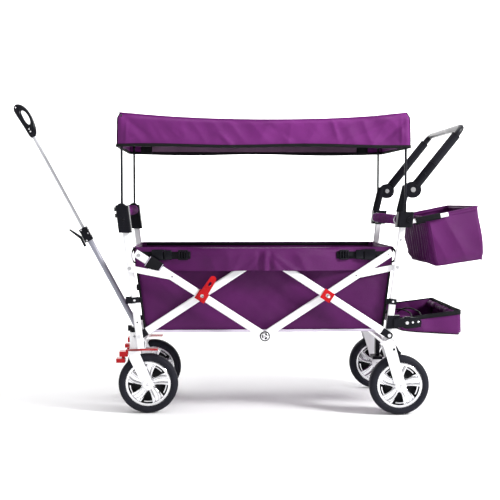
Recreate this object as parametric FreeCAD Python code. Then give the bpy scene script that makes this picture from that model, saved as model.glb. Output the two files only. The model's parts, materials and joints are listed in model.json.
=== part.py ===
import FreeCAD, Part
import math
import os

# Folding pull and push wagon with a canopy. Millimetres, +Z up, ground at z = 0.
# +X points to the push bar (rear), the pull handle is at -X. The wagon is symmetric about y = 0.
# "left" is the -Y side and "right" the +Y side.

V = FreeCAD.Vector

# --- scissor frame -----------------------------------------------------------------------------
HALF_STRUT = 270.0          # pivot to pivot along each strut
STRUT_ANGLE = 33.0          # degrees above level with the wagon open
FOLD_X = 63.0               # middle of the scissor frame
PIVOT_Z = 293.0             # height of the lower pivots
STRUT_H = 28.0              # flat-oval strut tube, tall side
STRUT_W = 12.0              # flat-oval strut tube, thin side
STRUT_WALL = 1.5
LAYER_OUT = 266.0           # |y| of the outer strut layer: front high and rear low struts
LAYER_IN = 245.0            # |y| of the inner strut layer: front low and rear high struts
STRUT_TAIL = 15.0           # tube past its end hole
END_BLOCK = 31.7            # plastic end, from the foot pivot to the tube
PIN_R = 3.0
PIN_CLEAR = 0.06

RUN = HALF_STRUT * math.cos(math.radians(STRUT_ANGLE))
RISE = HALF_STRUT * math.sin(math.radians(STRUT_ANGLE))
FRONT_FOOT = (FOLD_X - 2 * RUN, PIVOT_Z)
REAR_FOOT = (FOLD_X + 2 * RUN, PIVOT_Z)
FRONT_CROSS = (FOLD_X - RUN, PIVOT_Z + RISE)
REAR_CROSS = (FOLD_X + RUN, PIVOT_Z + RISE)
LOW_MID = (FOLD_X, PIVOT_Z)
HIGH_MID = (FOLD_X, PIVOT_Z + 2 * RISE)
FRONT_HEAD = (FRONT_FOOT[0], PIVOT_Z + 2 * RISE)
REAR_HEAD = (REAR_FOOT[0], PIVOT_Z + 2 * RISE)

# --- end frames --------------------------------------------------------------------------------
POST_D = 25.0               # flat-oval posts: wide side, along the wagon
POST_W = 14.0               # thin side, across the wagon
POST_WALL = 1.5
FRONT_POST_Y = 259.0
REAR_POST_Y = 249.0
POST_LEAN = 7.0             # degrees outward
POST_TOP_Z = 752.0
FRONT_POST_LOW_Z = 250.0
REAR_POST_LOW_Z = 276.0
LINK_OFFSET = (-32.0, 247.5)        # link pivot on the front post, from the lower pivot
LINK_ON_STRUT = (119.1, 216.8)      # link pivot on the strut, from the lower pivot
LINK_H = 22.0
LINK_T = 4.0
SLEEVE_Z = 425.0            # black collars round the posts
CLAMP_IN_Y = 239.0          # |y| of the pole clamps' inner faces
CLAMP_OUT_Y = 294.0         # |y| of the pole clamps' outer faces
FRONT_PAD_Z = 745.0
REAR_PAD_Z = 713.0
PAD_D = 38.0
CROSS_D = 22.0

# --- wheels ------------------------------------------------------------------------------------
WHEEL_R = 110.0
RIM_R = 83.0
TYRE_W = 46.0
FRONT_WHEEL_Y = 182.0
REAR_WHEEL_Y = 250.0
SWIVEL_X = -413.0
SWIVEL_PIVOT = (-439.5, 226.0)      # the red swivel lock's own pivot on the crown
CASTER_TRAIL = 50.0
REAR_HUB_X = 556.0
FORK_GAP = 58.0
FORK_T = 7.0
AXLE_R = 5.0
SPOKES = 5

# --- brake -------------------------------------------------------------------------------------
BRAKE_AXIS = (531.0, 244.0)
SHOE_TIP = (553.0, 228.5)

# --- canopy ------------------------------------------------------------------------------------
POLE_D = 9.0
POLE_Y = 284.0
FRONT_POLE_X = -447.0
REAR_POLE_X = 568.0
POLE_LOW_Z = 690.0
BOW_Z = 1086.0
CANOPY_HALF_W = 293.0
CANOPY_LOW_Z = 972.0
CANOPY_WALL = 3.5

# --- push handle -------------------------------------------------------------------------------
DISC = (599.0, 822.0)
DISC_R = 30.0
PUSH_Y = 255.0
PUSH_WALL = 1.6
PUSH_D = 30.0
PUSH_TOP = (780.0, 1049.0)

# --- pull handle -------------------------------------------------------------------------------
PULL_PIVOT = (-412.0, 285.0)
PULL_ANGLE = 118.0          # degrees from +X, up and forward
PULL_TUBE_D = 22.0
PULL_ROD_D = 13.0
PULL_CLAMP_AT = 418.0       # distance from the pivot to the clamp's middle
PULL_GRIP_AT = 838.0        # distance from the pivot to the grip's lower end
GRIP_OUTLINE = [(0, -13), (0, 12), (18, 22), (60, 30), (105, 29), (132, 14), (141, -4), (130, -17), (110, -20)]
GRIP_HOLE = [(44, 8), (60, 20), (98, 19), (114, 6), (104, 0), (60, 0)]

# --- soft goods --------------------------------------------------------------------------------
TUB_HALF_W = 229.0
TUB_FLOOR_Z = 303.0
TUB_TOP_Z = 612.0
TUB_WALL = 4.0
FLAP_LOW_Z = 532.0
BAG_OUTLINE = [(652, 722), (851, 762), (881, 566), (690, 542)]
BAG_HALF_W = 226.0
BAG_TILT = 11.0
BAG_ARM_START = (603.4, 707.2)
BAG_ARM_Y = -238.0
TRAY_OUTLINE = [(560, 350), (604, 350), (790, 378), (795, 286), (560, 304)]
TRAY_HALF_W = 232.0
TRAY_PIVOT = (582.0, 338.0)
SOFT_WALL = 3.5


# --- helpers -----------------------------------------------------------------------------------
def rod(start, end, diameter):
    axis = V(*end) - V(*start)
    return Part.makeCylinder(diameter / 2, axis.Length, V(*start), axis)


def tube(start, end, diameter, wall):
    return rod(start, end, diameter).cut(rod(start, end, diameter - 2 * wall))


def box(x0, x1, y0, y1, z0, z1):
    return Part.makeBox(x1 - x0, y1 - y0, z1 - z0, V(x0, y0, z0))


def disc(at, radius, y0, y1):
    """A round plate on the y axis through the (x, z) point."""
    return Part.makeCylinder(radius, y1 - y0, V(at[0], y0, at[1]), V(0, 1, 0))


def plate(outline, y0, y1):
    """A plate with an (x, z) outline of straight sides."""
    points = [V(x, y0, z) for x, z in outline]
    face = Part.Face(Part.makePolygon(points + points[:1]))
    return face.extrude(V(0, y1 - y0, 0))


def tapered_bar(a, b, ra, rb, y0, y1):
    """A flat bar with round ends of radius ra at a and rb at b, both (x, z) points."""
    dx = b[0] - a[0]
    dz = b[1] - a[1]
    length = math.hypot(dx, dz)
    base = math.atan2(dz, dx)
    side = math.acos((ra - rb) / length)

    def at(centre, radius, angle):
        return V(centre[0] + radius * math.cos(angle), y0, centre[1] + radius * math.sin(angle))

    up_a = at(a, ra, base + side)
    back_a = at(a, ra, base + math.pi)
    low_a = at(a, ra, base - side)
    low_b = at(b, rb, base - side)
    front_b = at(b, rb, base)
    up_b = at(b, rb, base + side)
    edges = [
        Part.Arc(up_a, back_a, low_a).toShape(),
        Part.LineSegment(low_a, low_b).toShape(),
        Part.Arc(low_b, front_b, up_b).toShape(),
        Part.LineSegment(up_b, up_a).toShape(),
    ]
    return Part.Face(Part.Wire(edges)).extrude(V(0, y1 - y0, 0))


def flat_bar(a, b, width, y0, y1):
    return tapered_bar(a, b, width / 2 + 0.001, width / 2, y0, y1)


def oval_bar(a, b, y, height, width):
    """A flat-oval bar from a to b, (x, z) points in the plane y, with square ends."""
    dx = b[0] - a[0]
    dz = b[1] - a[1]
    r = width / 2
    flat = height / 2 - r
    edges = [
        Part.LineSegment(V(0, -r, flat), V(0, -r, -flat)).toShape(),
        Part.Arc(V(0, -r, -flat), V(0, 0, -flat - r), V(0, r, -flat)).toShape(),
        Part.LineSegment(V(0, r, -flat), V(0, r, flat)).toShape(),
        Part.Arc(V(0, r, flat), V(0, 0, flat + r), V(0, -r, flat)).toShape(),
    ]
    shape = Part.Face(Part.Wire(edges)).extrude(V(math.hypot(dx, dz), 0, 0))
    shape.rotate(V(0, 0, 0), V(0, 1, 0), -math.degrees(math.atan2(dz, dx)))
    shape.translate(V(a[0], y, a[1]))
    return shape


def oval_tube(a, b, y, height, width, wall):
    core = oval_bar(a, b, y, height - 2 * wall, width - 2 * wall)
    return oval_bar(a, b, y, height, width).cut(core)


def bent_tube(points, bend, diameter):
    """A round bar along straight runs joined by arcs of radius bend."""
    nodes = [V(*p) for p in points]
    edges = []
    start = nodes[0]
    for before, corner, after in zip(nodes, nodes[1:], nodes[2:]):
        back = (before - corner).normalize()
        ahead = (after - corner).normalize()
        half = back.getAngle(ahead) / 2
        reach = bend / math.tan(half)
        middle = corner + (back + ahead).normalize() * (bend / math.sin(half) - bend)
        enter = corner + back * reach
        leave = corner + ahead * reach
        edges.append(Part.LineSegment(start, enter).toShape())
        edges.append(Part.Arc(enter, middle, leave).toShape())
        start = leave
    edges.append(Part.LineSegment(start, nodes[-1]).toShape())
    circle = Part.Circle(nodes[0], nodes[1] - nodes[0], diameter / 2).toShape()
    return Part.Wire(edges).makePipeShell([Part.Wire([circle])], True, False)


def pin(at, y_from, y_to, radius=PIN_R, head_r=6.5, head_t=2.0):
    """A rivet along y between two faces, with a head past each."""
    low, high = sorted((y_from, y_to))
    shank = disc(at, radius, low, high)
    heads = disc(at, head_r, low - head_t, low).fuse(disc(at, head_r, high, high + head_t))
    return shank.fuse(heads).removeSplitter()


def bore(shape, at, radius):
    """A hole along y right through the shape at an (x, z) point."""
    span = shape.BoundBox
    return shape.cut(disc(at, radius, span.YMin - 1, span.YMax + 1))


def along(a, b, distance):
    length = math.hypot(b[0] - a[0], b[1] - a[1])
    t = distance / length
    return (a[0] + (b[0] - a[0]) * t, a[1] + (b[1] - a[1]) * t)


def post_y(end):
    return -FRONT_POST_Y if end < 0 else -REAR_POST_Y


def on_post(end, z):
    """The post's axis at height z; end is -1 for the front and +1 for the rear."""
    foot = FRONT_FOOT if end < 0 else REAR_FOOT
    return foot[0] + end * (z - PIVOT_Z) * math.tan(math.radians(POST_LEAN))


def mirrored(shape):
    return shape.mirror(V(0, 0, 0), V(0, 1, 0))


def both(shape):
    """The shape on the -Y side and its mirror image on the +Y side."""
    return [shape, mirrored(shape)]


def save(name, shapes):
    """Writes the solids as one node, with the origin under the middle of the whole wagon."""
    solids = []
    for shape in shapes:
        for solid in shape.Solids:
            moved = solid.copy()
            moved.translate(V(-centre_x(), 0, 0))
            solids.append(moved)
    Part.makeCompound(solids).exportStep("parts/" + name + ".step")


def centre_x():
    """Half way between the pull grip's tip and the rear bag's far corner."""
    front = min(pull_point(PULL_GRIP_AT + a, -s)[0] for a, s in GRIP_OUTLINE)
    rear = max(x for x, z in BAG_OUTLINE)
    return (front + rear) / 2


# --- scissor struts ----------------------------------------------------------------------------
def strut_tube(a, b, y, tail_a, tail_b, holes):
    """A strut with its end holes at a and b and the tube running tail_a and tail_b past them."""
    start = along(a, b, -tail_a)
    finish = along(b, a, -tail_b)
    shape = oval_tube(start, finish, y, STRUT_H, STRUT_W, STRUT_WALL)
    for hole in holes:
        shape = bore(shape, hole, PIN_R + PIN_CLEAR)
    return shape


def make_struts():
    outer = -LAYER_OUT
    inner = -LAYER_IN
    half = STRUT_W / 2
    link_at, rear_link_at = link_struts()
    end_gap = -END_BLOCK - 0.3
    a = strut_tube(FRONT_HEAD, LOW_MID, outer, STRUT_TAIL, STRUT_TAIL, [FRONT_CROSS, LOW_MID, link_at, FRONT_HEAD])
    b = strut_tube(FRONT_FOOT, HIGH_MID, inner, end_gap, STRUT_TAIL, [FRONT_CROSS, HIGH_MID])
    c = strut_tube(HIGH_MID, REAR_FOOT, outer, STRUT_TAIL, end_gap, [REAR_CROSS, HIGH_MID])
    d = strut_tube(LOW_MID, REAR_HEAD, inner, STRUT_TAIL, STRUT_TAIL, [REAR_CROSS, LOW_MID, rear_link_at, REAR_HEAD])
    save("strut_front_high", both(a))
    save("strut_front_low", both(b))
    save("strut_rear_low", both(c))
    save("strut_rear_high", both(d))

    # black plastic ends that carry the low struts' foot pivots
    save("strut_end_front", both(strut_end(FRONT_FOOT, HIGH_MID, inner)))
    save("strut_end_rear", both(strut_end(REAR_FOOT, HIGH_MID, outer)))

    front_rivets = both(pin(FRONT_HEAD, outer - half, outer + half))
    for at in (FRONT_CROSS, LOW_MID):
        front_rivets += both(cross_rivet(at))
    save("rivets_front_struts", front_rivets)
    rear_rivets = []
    for at in (REAR_CROSS, HIGH_MID):
        rear_rivets += both(cross_rivet(at))
    save("rivets_rear_struts", rear_rivets)


def cross_rivet(at):
    """A rivet through both strut layers, with a spacer between them."""
    half = STRUT_W / 2
    spacer = disc(at, 8.0, -LAYER_OUT + half + 0.2, -LAYER_IN - half - 0.2)
    return pin(at, -LAYER_OUT - half, -LAYER_IN + half + 0.3).fuse(spacer).removeSplitter()


def strut_end(foot, far, y):
    """A plug in the tube's end and a block past it with an eye on the foot pivot."""
    shoulder = along(foot, far, END_BLOCK)
    plug_end = along(foot, far, END_BLOCK + 30)
    half = STRUT_W / 2
    plug = oblong_bar(shoulder, plug_end, y, STRUT_H - 10, STRUT_W - 2 * STRUT_WALL - 0.4)
    eye = disc(foot, 13.0, y - half, y + half)
    block = oblong_bar(foot, shoulder, y, 26.0, STRUT_W)
    shape = plug.multiFuse([block, eye]).removeSplitter()
    return bore(shape, foot, PIN_R + PIN_CLEAR)


def oblong_bar(a, b, y, height, width):
    """A square-sided bar from a to b in the plane y."""
    dx = b[0] - a[0]
    dz = b[1] - a[1]
    shape = Part.makeBox(math.hypot(dx, dz), width, height, V(0, -width / 2, -height / 2))
    shape.rotate(V(0, 0, 0), V(0, 1, 0), -math.degrees(math.atan2(dz, dx)))
    shape.translate(V(a[0], y, a[1]))
    return shape


def link_posts():
    """The link pivots on the front and the rear post."""
    front = (FRONT_FOOT[0] + LINK_OFFSET[0], PIVOT_Z + LINK_OFFSET[1])
    rear = (REAR_FOOT[0] - LINK_OFFSET[0], PIVOT_Z + LINK_OFFSET[1])
    return front, rear


def link_struts():
    """The link pivots on the front and the rear high strut."""
    front = (FRONT_FOOT[0] + LINK_ON_STRUT[0], PIVOT_Z + LINK_ON_STRUT[1])
    rear = (REAR_FOOT[0] - LINK_ON_STRUT[0], PIVOT_Z + LINK_ON_STRUT[1])
    return front, rear


def make_links():
    """Saves the links and gives the bolts that hold them to the posts."""
    front_post, rear_post = link_posts()
    front_strut, rear_strut = link_struts()
    outer_y = -LAYER_OUT - STRUT_W / 2 - 1.0 - LINK_T
    front = flat_bar(front_post, front_strut, LINK_H, outer_y, outer_y + LINK_T)
    for at in (front_post, front_strut):
        front = bore(front, at, PIN_R + PIN_CLEAR)
    save("link_front", both(front))

    inner_y = -LAYER_IN + STRUT_W / 2 + 0.6
    rear = flat_bar(rear_post, rear_strut, LINK_H, inner_y, inner_y + LINK_T)
    for at in (rear_post, rear_strut):
        rear = bore(rear, at, PIN_R + PIN_CLEAR)
    save("link_rear", both(rear))

    half = POST_W / 2
    front_pin = pin(front_post, outer_y - 0.3, -FRONT_POST_Y + half, head_t=1.6)
    rear_pin = pin(rear_post, -REAR_POST_Y - half, inner_y + LINK_T + 0.3, head_t=1.2)
    return front_pin, rear_pin


def make_fold_locks():
    face = -LAYER_OUT - STRUT_W / 2
    up = math.radians(180 - STRUT_ANGLE - 90)
    upward = (FRONT_CROSS[0] + math.cos(up), FRONT_CROSS[1] + math.sin(up))
    low = along(FRONT_CROSS, upward, -20.0)
    high = along(FRONT_CROSS, upward, 18.0)
    housing = lock_block(low, high, face - 5.0, face - 0.2, FRONT_CROSS)
    save("fold_lock_housings", both(housing))

    tip = along(FRONT_CROSS, upward, 72.0)
    lever = tapered_bar(FRONT_CROSS, tip, 15.0, 12.0, face - 11.0, face - 5.3)
    slot_at = along(FRONT_CROSS, upward, 48.0)
    slot_end = along(FRONT_CROSS, upward, 56.0)
    lever = lever.cut(flat_bar(slot_at, slot_end, 9.0, face - 12.0, face - 5.0))
    lever = bore(lever, FRONT_CROSS, 7.0)
    save("fold_lock_lever_left", [lever])
    save("fold_lock_lever_right", [mirrored(lever)])

    down = math.radians(90 - STRUT_ANGLE)
    across = (REAR_CROSS[0] + math.cos(down), REAR_CROSS[1] + math.sin(down))
    rear_low = along(REAR_CROSS, across, -20.0)
    rear_high = along(REAR_CROSS, across, 18.0)
    rear = lock_block(rear_low, rear_high, face - 6.0, face - 0.2, REAR_CROSS)
    save("fold_lock_catches", both(rear))


def lock_block(low, high, y0, y1, hole):
    shape = oblong_bar(low, high, (y0 + y1) / 2, 40.0, y1 - y0)
    return bore(shape, hole, 7.0)


# --- end frames --------------------------------------------------------------------------------
def post(end, low_z, top_z):
    low = (on_post(end, low_z), low_z)
    top = (on_post(end, top_z), top_z)
    return oval_tube(low, top, post_y(end), POST_D, POST_W, POST_WALL)


def post_space(end, low_z, top_z, grow):
    """The solid that a stretch of post fills, larger all round by grow."""
    low = (on_post(end, low_z), low_z)
    top = (on_post(end, top_z), top_z)
    return oval_bar(low, top, post_y(end), POST_D + 2 * grow, POST_W + 2 * grow)


def collar(end, z, hook):
    """A moulded collar round the post, with a lug towards the basket."""
    x = on_post(end, z)
    y = post_y(end)
    half = 10.0
    lug_x = x - end * 16
    lug = box(lug_x - 7, lug_x + 7, y - 3, y + 8, z - half, z + half)
    shape = post_space(end, z - half, z + half, 3.0).fuse(lug)
    if hook:
        shape = shape.fuse(box(x - 32, x - 10, y - 8, y + 8, z - half - 3, z + half + 3))
    return shape.cut(post_space(end, z - 40, z + 40, 0.05))


def pole_hole(x):
    return rod((x, -POLE_Y, 0), (x, -POLE_Y, 1200), POLE_D + 0.5)


def leaning_block(end, z0, z1, half_x, y0, y1, shift=0.0):
    """A block that follows the post's lean between two heights."""
    x0 = on_post(end, z0) + shift
    x1 = on_post(end, z1) + shift
    outline = [(x0 - half_x, z0), (x1 - half_x, z1), (x1 + half_x, z1), (x0 + half_x, z0)]
    return plate(outline, y0, y1)


def make_front_frame(link_bolt):
    foot_bore = PIN_R + PIN_CLEAR
    front = post(-1, FRONT_POST_LOW_Z, POST_TOP_Z)
    front = bore(bore(front, FRONT_FOOT, foot_bore), link_posts()[0], foot_bore)
    pad_x = on_post(-1, FRONT_PAD_Z)
    inner_face = FRONT_POST_Y - POST_W / 2
    clamp_y = CLAMP_IN_Y
    cross_tube = tube((pad_x, -clamp_y, FRONT_PAD_Z), (pad_x, clamp_y, FRONT_PAD_Z), CROSS_D, 1.5)
    save("front_tubes", both(front) + [cross_tube])

    pad = rod((pad_x, -clamp_y + 1, FRONT_PAD_Z), (pad_x, clamp_y - 1, FRONT_PAD_Z), PAD_D + 2)
    save("front_roll_pad", [pad.cut(rod((pad_x, -300, FRONT_PAD_Z), (pad_x, 300, FRONT_PAD_Z), CROSS_D + 0.1))])

    clamp = leaning_block(-1, 668.0, 766.0, 23.0, -CLAMP_OUT_Y, -clamp_y - 0.2)
    clamp = clamp.makeFillet(7.0, vertical_edges(clamp))
    clamp = clamp.cut(post_space(-1, 640, POST_TOP_Z, 0.05)).cut(pole_hole(FRONT_POLE_X))
    for z in (729.0, 752.0):
        x = on_post(-1, z) - 22.0
        clamp = clamp.fuse(rod((x, -266, z), (x - 8, -266, z), 16.0))
    save("front_pole_clamps", both(clamp.removeSplitter()))
    foot_bolt = pin(FRONT_FOOT, -FRONT_POST_Y - POST_W / 2, -LAYER_IN + STRUT_W / 2 + 0.3)
    pull_bolt = pin(PULL_PIVOT, -17, 17, 4.0, 7.5, 3.0)
    save("front_pivot_bolts", both(foot_bolt) + both(link_bolt) + [pull_bolt])

    cross = box(-397, -369, -inner_face + 0.1, inner_face - 0.1, 248, 276)
    cross = cross.cut(box(-395, -371, -inner_face, inner_face, 250, 274))
    sockets = []
    bores = []
    for side in (-1, 1):
        y = side * FRONT_WHEEL_Y
        sockets.append(rod((SWIVEL_X, y, 237), (SWIVEL_X, y, 300), 36.0))
        bores.append(rod((SWIVEL_X, y, 230), (SWIVEL_X, y, 310), 12.0 + 2 * PIN_CLEAR))
    ears = [box(-427, -396.9, 12.6, 17, 268, 299), box(-427, -396.9, -17, -12.6, 268, 299)]
    frame = cross.multiFuse(sockets + ears).removeSplitter()
    for hole in bores:
        frame = frame.cut(hole)
    frame = bore(frame, PULL_PIVOT, 4.0 + PIN_CLEAR)
    save("front_lower_frame", [frame])
    fittings = both(collar(-1, SLEEVE_Z, True))
    for side in (-1, 1):
        y = side * FRONT_WHEEL_Y
        dome = rod((SWIVEL_X, y, 300.2), (SWIVEL_X, y, 318), 34.0)
        tab = box(SWIVEL_X - 24, SWIVEL_X - 10, y - 6, y + 6, 304, 324)
        fittings.append(dome.fuse(tab).removeSplitter())
    save("front_collars_and_caps", fittings)


def vertical_edges(shape):
    edges = []
    for edge in shape.Edges:
        span = edge.BoundBox
        if span.ZLength > 0.9 * shape.BoundBox.ZLength:
            edges.append(edge)
    return edges


def make_rear_frame(bolts):
    foot_bore = PIN_R + PIN_CLEAR
    rear_top = 716.0
    rear = post(1, REAR_POST_LOW_Z, rear_top)
    rear = bore(bore(rear, REAR_FOOT, foot_bore), link_posts()[1], foot_bore)
    clamp_y = CLAMP_IN_Y
    pad_x = on_post(1, REAR_PAD_Z) - 12.0
    cross_tube = tube((pad_x, -clamp_y, REAR_PAD_Z), (pad_x, clamp_y, REAR_PAD_Z), CROSS_D, 1.5)
    arm = rod(bag_arm_point(-6), bag_arm_point(134), 16.0)
    save("rear_tubes", both(rear) + both(arm) + [cross_tube])

    pad = rod((pad_x, -clamp_y + 1, REAR_PAD_Z), (pad_x, clamp_y - 1, REAR_PAD_Z), PAD_D)
    save("rear_roll_pad", [pad.cut(rod((pad_x, -300, REAR_PAD_Z), (pad_x, 300, REAR_PAD_Z), CROSS_D + 0.1))])

    clamp = leaning_block(1, 686.0, 742.0, 28.0, -CLAMP_OUT_Y, -clamp_y - 0.2, 1.0)
    clamp = clamp.makeFillet(8.0, vertical_edges(clamp))
    clamp = clamp.fuse(rod((582, -CLAMP_OUT_Y + 1, 714), (582, -CLAMP_OUT_Y - 5, 714), 18.0))
    clamp = clamp.cut(post_space(1, 640, rear_top, 0.05)).cut(pole_hole(REAR_POLE_X)).removeSplitter()
    save("rear_pole_clamps", both(clamp))

    save("rear_collars", both(collar(1, SLEEVE_Z - 10, False)))
    foot_bolt = pin(REAR_FOOT, -LAYER_OUT - STRUT_W / 2 - 0.3, -REAR_POST_Y + POST_W / 2)
    save("rear_bolts", both(foot_bolt) + bolts)

    crown_top = REAR_POST_LOW_Z - 2.0
    outer = -REAR_WHEEL_Y - FORK_GAP / 2 - FORK_T
    inner = -REAR_WHEEL_Y + FORK_GAP / 2
    head = (514.0, 258.0)
    hub = (REAR_HUB_X, WHEEL_R)
    crown = box(494, 534, outer, inner + FORK_T, 253, crown_top)
    blades = [fork_blade(head, hub, outer), fork_blade(head, hub, inner)]
    fork = crown.multiFuse(blades).removeSplitter()
    fork = bore(bore(fork, hub, AXLE_R + PIN_CLEAR), BRAKE_AXIS, 5.0 + PIN_CLEAR)
    inner_end = -inner - FORK_T - 0.1
    cross = tube((506, -inner_end, 264), (506, inner_end, 264), 22.0, 1.5)
    save("rear_forks_and_tube", both(fork) + [cross])


def fork_blade(head, hub, y):
    return tapered_bar(head, hub, 21.0, 19.0, y, y + FORK_T)


# --- wheels ------------------------------------------------------------------------------------
def tyre(x, y):
    """A ring with a rounded tread."""
    half = TYRE_W / 2
    crown = half - 9.0
    points = [V(0, -half + 3, RIM_R), V(0, half - 3, RIM_R), V(0, half, RIM_R + 9)]
    left = [V(0, -half, RIM_R + 9), V(0, -crown, WHEEL_R - 1.5)]
    tread_mid = V(0, 0, WHEEL_R)
    right_shoulder = V(0, crown, WHEEL_R - 1.5)
    edges = [
        Part.LineSegment(points[0], points[1]).toShape(),
        Part.LineSegment(points[1], points[2]).toShape(),
        Part.Arc(points[2], V(0, half - 2.5, WHEEL_R - 7), right_shoulder).toShape(),
        Part.Arc(right_shoulder, tread_mid, left[1]).toShape(),
        Part.Arc(left[1], V(0, -half + 2.5, WHEEL_R - 7), left[0]).toShape(),
        Part.LineSegment(left[0], points[0]).toShape(),
    ]
    ring = Part.Face(Part.Wire(edges)).revolve(V(0, 0, 0), V(0, 1, 0), 360)
    ring.translate(V(x, y, WHEEL_R))
    return ring


def rim(x, y):
    """Outer ring, hub and five broad spokes."""
    centre = (x, WHEEL_R)
    half = TYRE_W / 2
    ring = disc(centre, RIM_R, y - half + 3, y + half - 3)
    ring = ring.cut(disc(centre, RIM_R - 9, y - half, y + half))
    hub = disc(centre, 20.0, y - 25, y + 25)
    pieces = [hub]
    for index in range(SPOKES):
        angle = 2 * math.pi * index / SPOKES + math.pi / 2
        tip = (x + (RIM_R - 7) * math.cos(angle), WHEEL_R + (RIM_R - 7) * math.sin(angle))
        pieces.append(tapered_bar(centre, tip, 12.0, 18.0, y - 12, y + 12))
    shape = ring.multiFuse(pieces)
    shape = shape.common(disc(centre, RIM_R, y - half, y + half).fuse(hub)).removeSplitter()
    return bore(shape, centre, AXLE_R + PIN_CLEAR)


def axle(x, y):
    reach = FORK_GAP / 2 + FORK_T
    return pin((x, WHEEL_R), y - reach, y + reach, AXLE_R, 10.0, 3.0)


def make_wheels():
    wheels = {
        "front_left": (SWIVEL_X + CASTER_TRAIL, -FRONT_WHEEL_Y),
        "front_right": (SWIVEL_X + CASTER_TRAIL, FRONT_WHEEL_Y),
        "rear_left": (REAR_HUB_X, -REAR_WHEEL_Y),
        "rear_right": (REAR_HUB_X, REAR_WHEEL_Y),
    }
    for name, (x, y) in wheels.items():
        save("tyre_" + name, [tyre(x, y)])
        save("rim_" + name, [rim(x, y)])
    return [axle(*wheels["rear_left"]), axle(*wheels["rear_right"])]


def make_casters():
    for side, name in ((-1, "left"), (1, "right")):
        y = side * FRONT_WHEEL_Y
        outer = y - FORK_GAP / 2 - FORK_T
        inner = y + FORK_GAP / 2
        head = (SWIVEL_X + 3, 212.0)
        hub = (SWIVEL_X + CASTER_TRAIL, WHEEL_R)
        crown = box(SWIVEL_X - 20, SWIVEL_X + 25, outer, inner + FORK_T, 223, 233)
        blades = [fork_blade(head, hub, outer), fork_blade(head, hub, inner)]
        stem = rod((SWIVEL_X, y, 230), (SWIVEL_X, y, 299), 12.0)
        washer = rod((SWIVEL_X, y, 232.9), (SWIVEL_X, y, 236.6), 26.0)
        fork = crown.multiFuse(blades + [stem, washer]).removeSplitter()
        fork = bore(fork, hub, AXLE_R + PIN_CLEAR)
        save("caster_fork_" + name, [fork, axle(hub[0], y)])
        save("swivel_lock_" + name, [swivel_lock(y)])


def swivel_lock(y):
    """Red rocker: two pedal lips in front of the crown and a catch plate over the wheel."""
    x = SWIVEL_X - 20.5
    pivot_x, pivot_z = SWIVEL_PIVOT
    knuckle = rod((pivot_x, y - 25, pivot_z), (pivot_x, y + 25, pivot_z), 11.0)
    upper = box(x - 34, x - 4, y - 24, y + 24, 211, 230)
    web = box(x - 26, x - 16, y - 10, y + 10, 202, 212)
    lower = box(x - 46, x - 14, y - 20, y + 20, 188, 203)
    arms = []
    for side in (-1, 1):
        middle = y + side * 22
        arms.append(box(pivot_x - 4, SWIVEL_X + 20, middle - 3, middle + 3, 233.6, 238))
        arms.append(box(pivot_x - 4, pivot_x + 4, middle - 3, middle + 3, 226, 238))
    catch = box(SWIVEL_X + 20, SWIVEL_X + 86, y - 25, y + 25, 233.6, 238)
    return knuckle.multiFuse([upper, web, lower, catch] + arms).removeSplitter()


# --- pull handle -------------------------------------------------------------------------------
def pull_point(distance, side=0.0):
    """A point on the pull handle's axis, moved square to it by side, as (x, z)."""
    angle = math.radians(PULL_ANGLE)
    x = PULL_PIVOT[0] + distance * math.cos(angle) - side * math.sin(angle)
    z = PULL_PIVOT[1] + distance * math.sin(angle) + side * math.cos(angle)
    return (x, z)


def pull_rod(start, end, diameter):
    a = pull_point(start)
    b = pull_point(end)
    return rod((a[0], 0, a[1]), (b[0], 0, b[1]), diameter)


def make_pull_handle():
    eye = disc(PULL_PIVOT, 10.5, -12.3, 12.3)
    lower = eye.fuse(pull_rod(8, PULL_CLAMP_AT + 10, PULL_TUBE_D)).removeSplitter()
    lower = lower.cut(pull_rod(26, PULL_CLAMP_AT + 40, PULL_ROD_D + 0.6))
    lower = bore(lower, PULL_PIVOT, 4.0 + PIN_CLEAR)
    save("pull_lower_tube", [lower])

    clamp = pull_block(PULL_CLAMP_AT - 28, PULL_CLAMP_AT + 28, -15, 18, 16.0)
    clamp = clamp.cut(pull_rod(PULL_CLAMP_AT - 40, PULL_CLAMP_AT + 10.05, PULL_TUBE_D + 0.1))
    clamp = clamp.cut(pull_rod(PULL_CLAMP_AT, PULL_CLAMP_AT + 60, PULL_ROD_D + 0.6))
    save("pull_clamp", [clamp])

    tip = pull_point(PULL_CLAMP_AT + 44, 48)
    knee = pull_point(PULL_CLAMP_AT - 2, 25)
    tail = pull_point(PULL_CLAMP_AT - 36, 26)
    lever = flat_bar(tail, knee, 9.0, -12, 12).fuse(tapered_bar(knee, tip, 5.5, 3.0, -12, 12))
    save("pull_clamp_lever", [lever.removeSplitter()])

    save("pull_rod", [pull_rod(PULL_CLAMP_AT - 60, PULL_GRIP_AT + 20, PULL_ROD_D)])
    save("pull_grip", [pull_grip()])


def pull_block(start, end, side_low, side_high, half_y):
    corners = [pull_point(start, side_low), pull_point(start, side_high)]
    corners += [pull_point(end, side_high), pull_point(end, side_low)]
    shape = plate(corners, -half_y, half_y)
    return shape


def pull_grip():
    """A closed D loop: a thick straight hand bar and a thinner bow behind it."""
    start = PULL_GRIP_AT
    outer = plate([pull_point(start + a, -s) for a, s in GRIP_OUTLINE], -17, 17)
    inner = plate([pull_point(start + a, -s) for a, s in GRIP_HOLE], -20, 20)
    shape = outer.cut(inner)
    shape = shape.cut(pull_rod(start - 5, start + 20.1, PULL_ROD_D + 0.1))
    return shape


# --- push handle -------------------------------------------------------------------------------
def push_direction():
    dx = PUSH_TOP[0] - DISC[0]
    dz = PUSH_TOP[1] - DISC[1]
    length = math.hypot(dx, dz)
    return dx / length, dz / length


def push_point(distance, y):
    ux, uz = push_direction()
    return (DISC[0] + ux * distance, y, DISC[1] + uz * distance)


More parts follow.
